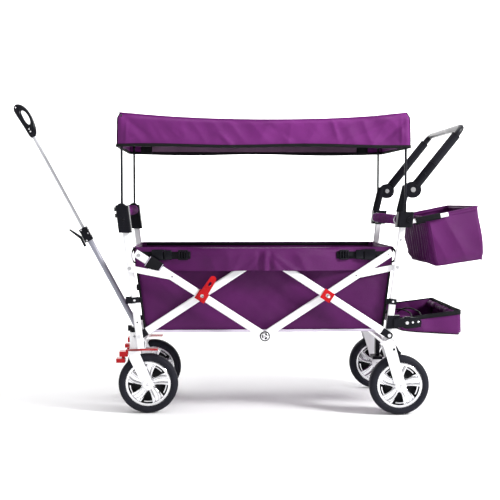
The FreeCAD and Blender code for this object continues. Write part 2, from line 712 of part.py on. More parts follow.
def make_push_handle():
    inner = -PUSH_Y + 13.0
    lower = rod((550, -PUSH_Y, 722), (577, -PUSH_Y, 836), PUSH_D)
    lower = lower.cut(box(500, 620, -PUSH_Y - 40, -PUSH_Y + 40, 700, 742.1))
    cheek = disc(DISC, DISC_R, -PUSH_Y + 1.5, inner)
    space = disc(DISC, DISC_R + 0.8, -PUSH_Y - 30, -PUSH_Y + 1.3)
    knuckle = lower.cut(space).fuse(cheek).removeSplitter()
    knuckle = bore(knuckle, DISC, 5.0 + PIN_CLEAR)
    save("push_lower_posts", both(knuckle))

    outer_disc = disc(DISC, DISC_R, -PUSH_Y - 15, -PUSH_Y + 1.0)
    socket = rod(push_point(20, -PUSH_Y), push_point(120, -PUSH_Y), 34.0)
    socket = socket.cut(disc(DISC, DISC_R + 4, -PUSH_Y + 1.0, -PUSH_Y + 20))
    arm = outer_disc.fuse(socket).removeSplitter()
    arm = arm.cut(rod(push_point(50, -PUSH_Y), push_point(130, -PUSH_Y), 24.1))
    arm = bore(arm, DISC, 5.0 + PIN_CLEAR)
    arm = arm.cut(disc(DISC, 9.3, -PUSH_Y - 20, -PUSH_Y - 9))
    snap_at = push_point(74, 0)
    arm = arm.fuse(disc((snap_at[0], snap_at[2]), 4.5, -PUSH_Y - 19, -PUSH_Y - 14)).removeSplitter()
    save("push_arm_sockets", both(arm))

    bolt = disc(DISC, 5.0, -PUSH_Y - 8.8, inner + 2.5).fuse(disc(DISC, 8.5, inner + 0.1, inner + 4.0))

    ends = push_point(52, 0)
    points = [(ends[0], -PUSH_Y, ends[2]), (PUSH_TOP[0], -PUSH_Y, PUSH_TOP[1])]
    points += [(PUSH_TOP[0], PUSH_Y, PUSH_TOP[1]), (ends[0], PUSH_Y, ends[2])]
    bar = bent_tube(points, 32.0, 24.0)
    bar = bar.cut(bent_tube(points, 32.0, 24.0 - 2 * PUSH_WALL))
    save("push_bar", [bar])
    foam = rod(push_point(121, -PUSH_Y), push_point(254, -PUSH_Y), 33.0)
    foam = foam.cut(rod(push_point(110, -PUSH_Y), push_point(300, -PUSH_Y), 24.1))
    save("push_foam_sleeves", both(foam))

    disc_button = disc(DISC, 9.0, -PUSH_Y - 17.5, -PUSH_Y - 12.2)
    save("hinge_button_left", [disc_button])
    save("hinge_button_right", [mirrored(disc_button)])
    return both(bolt.removeSplitter())


# --- canopy ------------------------------------------------------------------------------------
def bow(x):
    points = [(x, -POLE_Y, POLE_LOW_Z), (x, -POLE_Y, BOW_Z), (x, POLE_Y, BOW_Z), (x, POLE_Y, POLE_LOW_Z)]
    return bent_tube(points, 15.0, POLE_D)


def make_canopy():
    save("canopy_front_bow", [bow(FRONT_POLE_X)])
    save("canopy_rear_bow", [bow(REAR_POLE_X)])
    low = CANOPY_LOW_Z
    outer = [(-467, low), (-460, 1101), (60, 1078), (580, 1105), (588, low - 2)]
    wall = CANOPY_WALL
    inner = [(-467 + wall, low - 20), (-460 + wall, 1101 - wall), (60, 1078 - wall)]
    inner += [(580 - wall, 1105 - wall), (588 - wall, low - 20)]
    shell = plate(outer, -CANOPY_HALF_W, CANOPY_HALF_W)
    shell = shell.cut(plate(inner, -CANOPY_HALF_W + wall, CANOPY_HALF_W - wall))
    save("canopy_fabric", [shell])


# --- basket, bag and tray ----------------------------------------------------------------------
def open_tub(outline, half_w, wall, inner):
    tub = plate(outline, -half_w, half_w)
    return tub.cut(plate(inner, -half_w + wall, half_w - wall))


def make_basket():
    low = TUB_FLOOR_Z
    top = TUB_TOP_Z
    front_low = on_post(-1, low) + POST_D / 2 + 3
    front_top = on_post(-1, top) + POST_D / 2 + 3
    rear_low = on_post(1, low) - POST_D / 2 - 3
    rear_top = on_post(1, top) - POST_D / 2 - 3
    outline = [(front_low, low), (front_top, top), (rear_top, top), (rear_low, low)]
    w = TUB_WALL
    inner = [(front_low + w, low + 6), (front_top + w, top + 20), (rear_top - w, top + 20), (rear_low - w, low + 6)]
    save("basket_tub", [open_tub(outline, TUB_HALF_W, w, inner)])

    near = TUB_HALF_W + 0.5
    far = LAYER_OUT + 9.0
    plan = [(front_top + 8, near), (-290, near), (-45, far), (170, far), (416, near), (rear_top - 8, near)]
    thick = 2.4
    points = [V(x, -y, FLAP_LOW_Z) for x, y in plan]
    points += [V(x, -y - thick, FLAP_LOW_Z) for x, y in reversed(plan)]
    flap = Part.Face(Part.makePolygon(points + points[:1])).extrude(V(0, 0, top - FLAP_LOW_Z))
    save("basket_flaps", both(flap))


def make_bag():
    wall = SOFT_WALL
    a, b, c, d = BAG_OUTLINE
    inner = [(a[0] + wall, a[1] + 8), (b[0] - wall, b[1] + 8), (c[0] - wall, c[1] + wall), (d[0] + wall, d[1] + wall)]
    save("rear_bag", [open_tub(BAG_OUTLINE, BAG_HALF_W, wall, inner)])

    sleeve = rod(bag_arm_point(12), bag_arm_point(104), 22.0)
    sleeve = sleeve.cut(rod(bag_arm_point(0), bag_arm_point(200), 16.8))
    sleeve = sleeve.cut(box(500, 900, -BAG_HALF_W - 0.3, 0, 500, 900))
    wire_start = bag_arm_point(13)
    wire_end = bag_arm_point(50)
    wire = rod(drop(wire_start, 13), drop(wire_end, 13), 3.0)
    tab = box(wire_start[0], wire_start[0] + 9, BAG_ARM_Y - 4, BAG_ARM_Y + 4, wire_start[2] - 16, wire_start[2] - 9)
    save("bag_sleeves", both(sleeve.multiFuse([wire, tab]).removeSplitter()))


def drop(point, distance):
    return (point[0], point[1], point[2] - distance)


def bag_arm_point(distance):
    """A point on the left arm that the bag's sleeve slides along."""
    tilt = math.radians(BAG_TILT)
    x = BAG_ARM_START[0] + distance * math.cos(tilt)
    z = BAG_ARM_START[1] + distance * math.sin(tilt)
    return (x, BAG_ARM_Y, z)


def make_tray():
    wall = SOFT_WALL
    inner = [(560 + wall, 380), (604, 380), (790 - wall, 395), (795 - wall, 286 + wall), (560 + wall, 304 + wall)]
    save("rear_tray", [open_tub(TRAY_OUTLINE, TRAY_HALF_W, wall, inner)])
    y = -REAR_POST_Y
    block = leaning_block(1, 316.0, 364.0, 22.0, y - 10, y + 12, 10.0)
    core = post_space(1, 280, 400, 0.05)
    block = block.cut(core).cut(disc(TRAY_PIVOT, 26.0, y - 10.5, y + 20))
    ear = tapered_bar((550, 338), TRAY_PIVOT, 17.0, 14.0, y - 17, y - 10.9)
    bridge = box(534, 552, y - 17, y - 5, 324, 352)
    mount = block.multiFuse([ear, bridge]).cut(core).removeSplitter()
    mount = bore(mount, TRAY_PIVOT, 4.0 + PIN_CLEAR)
    save("tray_mounts", both(mount))
    plate_y = y - 10.6
    arm = tapered_bar(TRAY_PIVOT, (618, 338), 22.0, 18.0, plate_y, plate_y + 5.0)
    arm = arm.fuse(box(596, 634, plate_y, -TRAY_HALF_W - 0.2, 322, 346)).removeSplitter()
    arm = bore(arm, TRAY_PIVOT, 4.0 + PIN_CLEAR)
    save("tray_hinge_plates", both(arm))
    return both(pin(TRAY_PIVOT, y - 17, plate_y + 5.3, 4.0, 6.0, 2.0))


# --- brake -------------------------------------------------------------------------------------
def make_brake():
    """A cross shaft with a centre pedal and a shoe over each rear tyre."""
    x, z = BRAKE_AXIS
    reach = REAR_WHEEL_Y + 22
    shaft = rod((x, -reach, z), (x, reach, z), 10.0)
    arm = box(x - 20, x - 4, -12, 12, 176, z + 2)
    foot = box(x - 34, x + 4, -32, 32, 166, 178)
    shoe = tapered_bar(BRAKE_AXIS, SHOE_TIP, 7.0, 6.5, -reach, -REAR_WHEEL_Y + 22)
    pedal = shaft.multiFuse([arm, foot] + both(shoe)).removeSplitter()
    save("brake_pedal", [pedal])


os.makedirs("parts", exist_ok=True)
front_link_bolt, rear_link_bolt = make_links()
make_struts()
make_fold_locks()
make_front_frame(front_link_bolt)
rear_axles = make_wheels()
make_casters()
make_pull_handle()
hinge_bolts = make_push_handle()
tray_bolts = make_tray()
make_rear_frame(both(rear_link_bolt) + rear_axles + hinge_bolts + tray_bolts)
make_canopy()
make_basket()
make_bag()
make_brake()
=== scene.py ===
import bpy
import bmesh
import json
from math import atan, copysign, cos, exp, pi, radians, sin, tan
from mathutils import Vector, Matrix, noise


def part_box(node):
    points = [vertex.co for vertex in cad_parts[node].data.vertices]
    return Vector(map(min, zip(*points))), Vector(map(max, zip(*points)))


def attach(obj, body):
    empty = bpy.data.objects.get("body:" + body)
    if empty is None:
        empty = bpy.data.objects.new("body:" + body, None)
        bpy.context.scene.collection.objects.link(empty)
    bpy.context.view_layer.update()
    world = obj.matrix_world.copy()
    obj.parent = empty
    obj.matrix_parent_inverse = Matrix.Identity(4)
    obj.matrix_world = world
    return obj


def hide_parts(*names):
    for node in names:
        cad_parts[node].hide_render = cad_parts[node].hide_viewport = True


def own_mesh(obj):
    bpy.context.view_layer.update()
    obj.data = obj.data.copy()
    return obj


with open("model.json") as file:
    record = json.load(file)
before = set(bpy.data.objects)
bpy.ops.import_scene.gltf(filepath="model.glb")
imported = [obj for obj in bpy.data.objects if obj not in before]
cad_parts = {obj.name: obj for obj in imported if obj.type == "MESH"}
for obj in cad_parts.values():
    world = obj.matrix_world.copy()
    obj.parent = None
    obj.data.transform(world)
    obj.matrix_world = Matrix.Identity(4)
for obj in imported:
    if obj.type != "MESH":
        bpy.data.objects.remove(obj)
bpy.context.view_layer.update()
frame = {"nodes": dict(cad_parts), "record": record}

DX = 0.00023                # the record frame's x is the design's x plus this
LEAN = tan(radians(7.0))    # how far a post leans out for each metre of height
FOOT_Z = 0.293              # height of the posts' feet
FRONT_FOOT = Vector((-0.38988 + DX, 0, FOOT_Z))
REAR_FOOT = Vector((0.51588 + DX, 0, FOOT_Z))
CLOTH = 0.0016              # thickness of the basket's, bag's and tray's cloth
HAND = {-1: "left", 1: "right"}                 # the near side (-y) is the wagon's left


# --- materials ---
def links(tree, a, out, b, inp):
    tree.links.new(a.outputs[out], b.inputs[inp])


M = {}                      # every material by its name


def add_node(t, kind, **inputs):
    n = t.nodes.new("ShaderNode" + kind)
    for key, value in inputs.items():
        n.inputs[key].default_value = value
    return n


def base(name, color, rough, metallic=0.0, **sockets):
    M[name] = bpy.data.materials.new(name)
    M[name].use_nodes = True
    t = M[name].node_tree
    p = t.nodes["Principled BSDF"]
    p.inputs["Base Color"].default_value = (*color, 1)
    p.inputs["Roughness"].default_value = rough
    p.inputs["Metallic"].default_value = metallic
    for key, value in sockets.items():
        p.inputs[key.replace("_", " ")].default_value = value
    return t, p, add_node(t, "TexCoord")


def noise_node(t, c, scale, detail):
    n = add_node(t, "TexNoise", Scale=scale, Detail=detail)
    links(t, c, "Object", n, "Vector")
    return n


def ramp(t, source, out, stops):
    r = add_node(t, "ValToRGB")
    while len(r.color_ramp.elements) < len(stops):
        r.color_ramp.elements.new(0.5)
    for e, (at, col) in zip(r.color_ramp.elements, stops):
        e.position = at
        e.color = (*col, 1)
    links(t, source, out, r, "Fac")
    return r


def bump(t, p, source, out, strength, distance):
    b = add_node(t, "Bump", Strength=strength, Distance=distance)
    links(t, source, out, b, "Height")
    links(t, b, "Normal", p, "Normal")


def shade(color, k):
    return tuple(min(1.0, c * k) for c in color)


def vary_color(t, source, color, low, high):
    """Colour that follows a noise; low and high are a place on the ramp and a brightness."""
    return ramp(t, source, "Fac", [(at, shade(color, k)) for at, k in (low, high)])


def vary_rough(t, p, source, rough, low, high):
    """Roughness that follows a noise; low and high are a place on the ramp and a change."""
    rr = ramp(t, source, "Fac", [(at, (max(0.02, rough + more),) * 3) for at, more in (low, high)])
    links(t, rr, "Color", p, "Roughness")


def fabric(name, color, rough=0.5, sheen=0.06, thread=2600.0, contrast=0.16, gloss=0.18):
    """Woven nylon: crossed threads at their real size, uneven dye and soft creases."""
    t, p, c = base(name, color, rough, Sheen_Weight=sheen, Sheen_Roughness=0.4, Specular_IOR_Level=gloss)
    p.inputs["Sheen Tint"].default_value = (*shade(color, 2.2), 1)
    cloud = noise_node(t, c, 5.0, 4.0)
    dye = vary_color(t, cloud, color, (0.3, 1 - contrast), (0.7, 1 + contrast))
    weave = add_node(t, "Math")
    weave.operation = "MAXIMUM"
    for number, (direction, turn) in enumerate((("X", (0.0, 0.0, 0.5)), ("Z", (0.9, 0.0, 0.0)))):
        wave = add_node(t, "TexWave", Scale=thread / 6.283, Distortion=0.6, Detail=0.0)
        wave.bands_direction = direction
        lean = add_node(t, "Mapping", Rotation=turn)
        links(t, c, "Object", lean, "Vector")
        links(t, lean, "Vector", wave, "Vector")
        links(t, wave, "Fac", weave, number)
    mix = add_node(t, "Mix")
    mix.data_type = "RGBA"
    mix.blend_type = "MULTIPLY"
    mix.inputs["Factor"].default_value = 0.22
    links(t, dye, "Color", mix, "A")
    links(t, weave, "Value", mix, "B")
    links(t, mix, "Result", p, "Base Color")
    crease = noise_node(t, c, 22.0, 5.0)
    crease.inputs["Distortion"].default_value = 1.2
    add = add_node(t, "Math")
    add.operation = "MULTIPLY_ADD"
    add.inputs[1].default_value = 6.0
    links(t, crease, "Fac", add, 0)
    links(t, weave, "Value", add, 2)
    bump(t, p, add, "Value", 0.5, 0.0004)
    vary_rough(t, p, cloud, rough, (0.3, -0.06), (0.7, 0.08))


def moulded(name, color, rough, grain=900.0, strength=0.25, coat=0.0):
    """Moulded plastic: fine spark-erosion grain, faint scuffs."""
    t, p, c = base(name, color, rough, Coat_Weight=coat, Coat_Roughness=0.12, Specular_IOR_Level=0.12)
    scuff = noise_node(t, c, 14.0, 6.0)
    links(t, vary_color(t, scuff, color, (0.35, 0.85), (0.75, 1.25)), "Color", p, "Base Color")
    vary_rough(t, p, scuff, rough, (0.3, -0.05), (0.75, 0.08))
    bump(t, p, noise_node(t, c, grain, 2.0), "Fac", strength, 0.0002)


def enamel(name, color, rough=0.28, coat=0.5):
    """Powder coat: faint orange peel under a clear gloss."""
    t, p, c = base(name, color, rough, Coat_Weight=coat, Coat_Roughness=0.08, Specular_IOR_Level=0.25)
    cloud = noise_node(t, c, 6.0, 3.0)
    links(t, vary_color(t, cloud, color, (0.3, 0.97), (0.7, 1.02)), "Color", p, "Base Color")
    vary_rough(t, p, cloud, rough, (0.3, -0.04), (0.7, 0.06))
    bump(t, p, noise_node(t, c, 420.0, 2.0), "Fac", 0.12, 0.0002)


def metal(name, color, rough):
    """Bare or plated metal: cloudy polish and very fine marks."""
    t, p, c = base(name, color, rough, metallic=1.0)
    cloud = noise_node(t, c, 18.0, 5.0)
    links(t, vary_color(t, cloud, color, (0.3, 0.92), (0.7, 1.04)), "Color", p, "Base Color")
    vary_rough(t, p, cloud, rough, (0.3, -0.04), (0.75, 0.07))
    bump(t, p, noise_node(t, c, 700.0, 2.0), "Fac", 0.06, 0.0001)


PURPLE = (0.078, 0.0055, 0.080)
PURPLE_LIGHT = (0.150, 0.018, 0.154)
BLACK = (0.005, 0.005, 0.008)

enamel("white_paint", (0.88, 0.88, 0.90))
enamel("black_tube", (0.006, 0.006, 0.010), 0.3, 0.06)
moulded("black_plastic", BLACK, 0.42)
moulded("gloss_black_plastic", BLACK, 0.24, coat=0.06)
moulded("red_plastic", (0.44, 0.006, 0.010), 0.3, coat=0.1)
fabric("purple_nylon", PURPLE)
fabric("light_purple_nylon", shade(PURPLE, 1.12))
fabric("canopy_nylon", PURPLE_LIGHT, 0.55, 0.06, gloss=0.12)
fabric("pad_nylon", shade(PURPLE_LIGHT, 0.9), 0.8, 0.0, gloss=0.02)
fabric("dark_nylon", (0.004, 0.004, 0.006), 0.75, 0.0, 1800.0)
fabric("mesh_net", (0.16, 0.09, 0.15), 0.7, 0.2, 1200.0, 0.3)
fabric("pale_webbing", (0.62, 0.55, 0.68), 0.6, 0.2, 1800.0)
moulded("foam", (0.008, 0.008, 0.012), 0.5, 700.0, 0.6)
moulded("tyre", (0.012, 0.012, 0.018), 0.6, 260.0, 0.7)
metal("rim_chrome", (0.86, 0.86, 0.88), 0.10)
moulded("rim_dark", (0.012, 0.012, 0.014), 0.4)
metal("steel", (0.72, 0.72, 0.74), 0.25)
enamel("grey_tube", (0.30, 0.30, 0.36), 0.25, 0.4)
enamel("pale_tube", (0.50, 0.50, 0.53), 0.25, 0.3)


# --- CAD nodes ---
for part in frame["record"]["subparts"]:
    node = frame["nodes"][part["node"]]
    material = M[part["material_slot"]]
    if node.data.materials:
        node.data.materials[0] = material
    else:
        node.data.materials.append(material)


# --- mesh helpers ---
def put(name, data):
    """Adds an object to the scene."""
    o = bpy.data.objects.new(name, data)
    bpy.context.collection.objects.link(o)
    return o


def smooth_faces(me):
    for f in me.polygons:
        f.use_smooth = True


def mesh_piece(name, verts, faces, mat):
    me = bpy.data.meshes.new(name)
    me.from_pydata([tuple(v) for v in verts], [], faces)
    me.update()
    me.materials.append(M[mat])
    smooth_faces(me)
    return put(name, me)


def bake(o):
    """Applies the modifiers, or turns a curve into a mesh."""
    bpy.context.view_layer.update()
    done = o.evaluated_get(bpy.context.evaluated_depsgraph_get())
    me = bpy.data.meshes.new_from_object(done)
    if o.type == "MESH":
        o.modifiers.clear()
        o.data = me
        return o
    name = o.name
    mats = list(o.data.materials)
    bpy.data.objects.remove(o)
    new = put(name, me)
    if not me.materials:
        for m in mats:
            me.materials.append(m)
    smooth_faces(me)
    return new


def solid(o, thick, offset):
    """Gives a surface its thickness."""
    s = o.modifiers.new("thick", "SOLIDIFY")
    s.thickness = thick
    s.offset = offset
    return bake(o)


def rbox(name, centre, size, mat, bevel=0.003, rot=(0, 0, 0)):
    """A block with rounded edges."""
    bm = bmesh.new()
    bmesh.ops.create_cube(bm, size=1.0)
    for v in bm.verts:
        v.co = Vector((v.co.x * size[0], v.co.y * size[1], v.co.z * size[2]))
    bevel = min(bevel, min(size) * 0.45)
    bmesh.ops.bevel(bm, geom=bm.edges[:], offset=bevel, segments=3, profile=0.5, affect="EDGES")
    turn = Matrix.Rotation(rot[2], 4, "Z") @ Matrix.Rotation(rot[1], 4, "Y") @ Matrix.Rotation(rot[0], 4, "X")
    bmesh.ops.transform(bm, matrix=Matrix.Translation(centre) @ turn, verts=bm.verts)
    me = bpy.data.meshes.new(name)
    bm.to_mesh(me)
    bm.free()
    me.materials.append(M[mat])
    smooth_faces(me)
    return put(name, me)


def tube_faces(rings, segments, closed=False, open_start=False, flip=False):
    """Faces between rings of points. A tube not closed on itself is capped at its end and its start."""
    faces = []
    for i in range(rings if closed else rings - 1):
        j = (i + 1) % rings
        for k in range(segments):
            b = (k + 1) % segments
            quad = (i * segments + k, i * segments + b, j * segments + b, j * segments + k)
            faces.append(quad[:1] + quad[:0:-1] if flip else quad)
    if not closed:
        if not open_start:
            faces.append(tuple(reversed(range(segments))))
        faces.append(tuple(range((rings - 1) * segments, rings * segments)))
    return faces


def turned(name, profile, at, mat, segments, out=1):
    """A lathe-turned piece across the wagon: (radius, along) pairs; out is -1 where along runs to -y."""
    axis = Vector((0, 1, 0))
    side = axis.orthogonal().normalized()
    up = axis.cross(side)
    verts = []
    for r, a in profile:
        for k in range(segments):
            w = 2 * pi * k / segments
            verts.append(Vector(at) + axis * (a * out) + side * (r * cos(w)) + up * (r * sin(w)))
    return mesh_piece(name, verts, tube_faces(len(profile), segments), mat)


def oval(centre, u, v, ru, rv, n):
    """A closed line of n points round a centre, ru along u and rv along v."""
    turns = [2 * pi * k / n for k in range(n)]
    return [centre + u * (ru * cos(w)) + v * (rv * sin(w)) for w in turns]


def piping(name, points, radius, mat, closed=False):
    """A sewn cord edge or bent wire: a smooth round line through the points."""
    cu = bpy.data.curves.new(name, "CURVE")
    cu.dimensions = "3D"
    sp = cu.splines.new("POLY")
    sp.points.add(len(points) - 1)
    for q, p in zip(sp.points, points):
        q.co = (*p, 1)
    sp.use_cyclic_u = closed
    cu.bevel_depth = radius
    cu.bevel_resolution = 3
    cu.use_fill_caps = True
    cu.materials.append(M[mat])
    return bake(put(name, cu))


# the webbing's cross-section, in half widths and half thicknesses
WEBBING = ((-1, -1), (-0.9, 1), (0, 1.2), (0.9, 1), (1, -1))


def ribbon(name, points, width, thick, mat, closed=False, sides=(0, 0, 1)):
    """Flat webbing along the points; sides is the direction of its width."""
    verts = []
    n = len(points)
    for i in range(n):
        p = Vector(points[i])
        ahead = Vector(points[(i + 1) % n if closed else min(i + 1, n - 1)])
        back = Vector(points[(i - 1) % n if closed else max(i - 1, 0)])
        side = Vector(sides).normalized()
        up = (ahead - back).normalized().cross(side).normalized()
        for sx, sz in WEBBING:
            verts.append(p + side * (sx * width / 2) + up * (sz * thick / 2))
    return mesh_piece(name, verts, tube_faces(n, len(WEBBING), closed), mat)


def join(name, objects):
    """Joins pieces that ride together into one."""
    bpy.ops.object.select_all(action="DESELECT")
    for o in objects:
        o.select_set(True)
    bpy.context.view_layer.objects.active = objects[0]
    bpy.ops.object.join()
    o = bpy.context.view_layer.objects.active
    o.name = name
    return o


def fitted(name, pieces, body):
    """Joins small pieces into one that rides on a body."""
    o = join(name, pieces)
    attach(o, body)


def mirror_y(o, name):
    """The same piece on the other side of the wagon."""
    me = o.data.copy()
    for v in me.vertices:
        v.co.y = -v.co.y
    me.flip_normals()
    return put(name, me)


def folds(p, angle, freq, amp, seed):
    """Soft ridges that run at an angle in the x-z plane."""
    u = p.x * cos(angle) + p.z * sin(angle) + 0.3 * p.y
    v = -p.x * sin(angle) + p.z * cos(angle) + 0.6 * p.y
    n = noise.noise(Vector((u * freq, v * freq * 0.22, seed)))
    return amp * (1.0 - 2.2 * abs(n))


def lerp(a, b, t):
    return a + (b - a) * t


def smooth(a, b, x):
    t = min(1.0, max(0.0, (x - a) / (b - a)))
    return t * t * (3 - 2 * t)


def plan_loop(length, half, r, n_long, n_short, n_corner):
    """A rounded rectangle: 0..length one way, -half..half the other, starting on the -half side."""
    pts = []
    for i in range(n_long):
        pts.append((r + (length - 2 * r) * i / n_long, -half))
    corners = [(length - r, -half + r, -90), (length - r, half - r, 0),
               (r, half - r, 90), (r, -half + r, 180)]
    for c, (cx, cy, a0) in enumerate(corners):
        for k in range(n_corner + 1):
            a = radians(a0 + 90.0 * k / n_corner)
            pts.append((cx + r * cos(a), cy + r * sin(a)))
        if c == 0:
            pts += [(length, -half + r + (2 * half - 2 * r) * i / n_short) for i in range(1, n_short)]
        elif c == 1:
            pts += [(length - r - (length - 2 * r) * i / n_long, half) for i in range(1, n_long)]
        elif c == 2:
            pts += [(0, half - r - (2 * half - 2 * r) * i / n_short) for i in range(1, n_short)]
    return pts[:-1]


FLOOR_RINGS = 12
FLOOR_SHRINK = 0.985        # the innermost ring of a floor or roof stops just short of a point
SOFT_FOOT = 0.007           # how far the walls round in at the base


def vessel(name, corners, half, r, mat, n, rows, push):
    """An open-topped sewn shell: walls between a slanted rim and a slanted base, then the floor.
    corners are the (x, z) points top front, top rear, low rear, low front. Returns the piece and the
    number of points in one of its rings."""
    tf, tr, lr, lf = corners
    verts = []
    for row in range(rows + FLOOR_RINGS):
        t = min(1.0, row / (rows - 1))
        inner = 0.0 if row < rows else (row - rows + 1) / FLOOR_RINGS
        x0, x1 = lerp(tf[0], lf[0], t), lerp(tr[0], lr[0], t)
        z0, z1 = lerp(tf[1], lf[1], t), lerp(tr[1], lr[1], t)
        length = x1 - x0
        loop = plan_loop(length, half, r, *n)
        soft = SOFT_FOOT * smooth(0.86, 1.0, t)
        k = 1.0 - inner * FLOOR_SHRINK
        for s, y in loop:
            ss = length / 2 + (s - length / 2) * (1 - 2 * soft / length) * k
            verts.append(Vector((x0 + ss, y * (1 - soft / half) * k, lerp(z0, z1, ss / length))))
    faces = tube_faces(rows + FLOOR_RINGS, len(loop), open_start=True, flip=True)
    o = mesh_piece(name, verts, faces, mat)
    moved = [v.co + push(v.co.copy(), v.normal.copy()) for v in o.data.vertices]
    for v, co in zip(o.data.vertices, moved):
        v.co = co
    o.data.update()
    return o, len(loop)


def row_points(o, row, count):
    """The points of one ring of a shell."""
    return [v.co.copy() for v in o.data.vertices[row * count:(row + 1) * count]]


def on_front(z):
    """x of the front posts at a height."""
    return FRONT_FOOT.x - (z - FOOT_Z) * LEAN


def on_rear(z):
    """x of the rear posts at a height."""
    return REAR_FOOT.x + (z - FOOT_Z) * LEAN


def fold_with_frame(o, body="front_frame"):
    """Rides on the front frame, or on the given body, with a mesh of its own."""
    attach(o, body)
    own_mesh(o)


# --- canopy ---
CAN_F, CAN_R = -0.464 + DX, 0.585 + DX          # the cloth's ends
CAN_LOW = 0.974             # its hem
ROOF = 1.101                # its top at the bows
CAN_HALF = 0.2905
CAN_ROWS = 26               # rows from the hem to the roof's edge
CREASE_LIFT = 1.7           # makes all creases stand out more


def roof_z(x, y):
    """Height of the roof: taut over the bows, sagging between them, slightly crowned across."""
    u = min(1.0, max(0.0, (x - CAN_F) / (CAN_R - CAN_F)))
    rear = exp(-((1 - u) / 0.10) ** 2)
    sag = 0.026 * (4 * u * (1 - u)) ** 0.8
    across = 1 - (y / CAN_HALF) ** 2
    return ROOF - sag + 0.003 * rear - 0.006 * across * (4 * u * (1 - u))


CREASES = [  # each a fold line in x and z on the long sides, with its width and height
    (0.545, 1.085, 0.350, 0.990, 0.010, 0.0034), (0.560, 1.060, 0.470, 0.985, 0.009, -0.0030),
    (0.420, 1.078, 0.250, 1.000, 0.013, -0.0026), (-0.060, 0.984, -0.105, 1.022, 0.008, 0.0032),
    (0.150, 1.068, -0.020, 0.995, 0.014, 0.0022), (-0.445, 1.085, -0.330, 0.990, 0.011, -0.0026),
    (-0.300, 1.080, -0.200, 1.000, 0.014, 0.0020), (0.060, 1.060, 0.190, 0.985, 0.012, -0.0022),
    (0.300, 1.075, 0.330, 0.985, 0.008, 0.0018), (-0.432, 0.985, -0.426, 1.090, 0.004, 0.0016),
    (0.552, 0.985, 0.548, 1.085, 0.004, 0.0016),
]


def creased(p):
    out = 0.0
    for xa, za, xb, zb, wide, high in CREASES:
        run = Vector((xb - xa, zb - za))
        rel = Vector((p.x - xa, p.z - za))
        t = min(1.0, max(0.0, rel.dot(run) / run.length_squared))
        off = (rel - run * t).length
        out += CREASE_LIFT * high * exp(-(off / wide) ** 2) * (0.4 + 0.6 * sin(pi * min(1.0, t + 0.15)))
    return out


def canopy_shell():
    """The hem and the valance in rows from the bottom up, then the roof in shrinking rings."""
    rings = 16
    cx, hx = (CAN_F + CAN_R) / 2, (CAN_R - CAN_F) / 2
    verts = []
    for row in range(CAN_ROWS + rings):
        inner = 0.0 if row < CAN_ROWS else (row - CAN_ROWS + 1) / rings
        t = min(1.0, row / (CAN_ROWS - 1))
        flare = 0.0025 * (1 - t)
        loop = plan_loop(CAN_R - CAN_F + 2 * flare, CAN_HALF + flare, 0.022, 220, 50, 5)
        edge = 0.016 * smooth(0.78, 1.0, t) ** 1.5
        k = 1 - inner * FLOOR_SHRINK
        for s, y in loop:
            xx = cx + (CAN_F - flare + s - cx) * (1 - edge / hx * 0.5) * k
            yy = y * (1 - edge / CAN_HALF * 0.6) * k
            top = roof_z(xx, yy)
            if row >= CAN_ROWS:
                verts.append(Vector((xx, yy, top)))
                continue
            z = lerp(CAN_LOW, top - 0.004, t) + 0.0025 * sin(xx * 11.0 + yy * 3.0) * (1 - t)
            p = Vector((xx, yy, z))
            long_side = smooth(CAN_HALF - 0.02, CAN_HALF, abs(y))
            wave = folds(p, 0.55, 17.0, 0.0036, 3.1) + folds(p, -0.4, 9.0, 0.0040, 8.7)
            taut = smooth(0.0, 0.25, t) * (1 - smooth(0.85, 1.0, t)) + 0.35 * (1 - t)
            sag_in = -0.006 * sin(pi * t) * sin(pi * (xx - CAN_F) / (CAN_R - CAN_F))
            out = (wave * taut + sag_in + creased(p)) * long_side
            p.y += out * (1 if y > 0 else -1)
            end = smooth(0.19, 0.0, abs(y)) * (1 - long_side)
            p.x += (1 if xx > 0 else -1) * (-0.004) * sin(pi * t) * end
            verts.append(p)
    faces = tube_faces(CAN_ROWS + rings, len(loop), open_start=True)
    return mesh_piece("canopy_cloth", verts, faces, "canopy_nylon"), len(loop)


canopy, ring = canopy_shell()
canopy_rows = [row_points(canopy, row, ring) for row in range(CAN_ROWS)]
hem_line = canopy_rows[0]
canopy = solid(canopy, 0.0012, -1.0)
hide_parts("canopy_fabric")

hem_middle = [p + Vector((0, 0, 0.0035)) for p in hem_line]
trim = [
    ribbon("canopy_hem", hem_middle, 0.011, 0.004, "dark_nylon", True),
    piping("canopy_seam", canopy_rows[-1], 0.0016, "canopy_nylon", True),
]
corner_ids = [min(range(ring), key=lambda k: (hem_line[k] - Vector((x, y, CAN_LOW))).length)
              for x in (CAN_F, CAN_R) for y in (-CAN_HALF, CAN_HALF)]
for number, k in enumerate(corner_ids):
    trim.append(piping("canopy_corner_%d" % number, [row[k] for row in canopy_rows], 0.0022, "dark_nylon"))
canopy_trim = join("canopy_binding", trim)

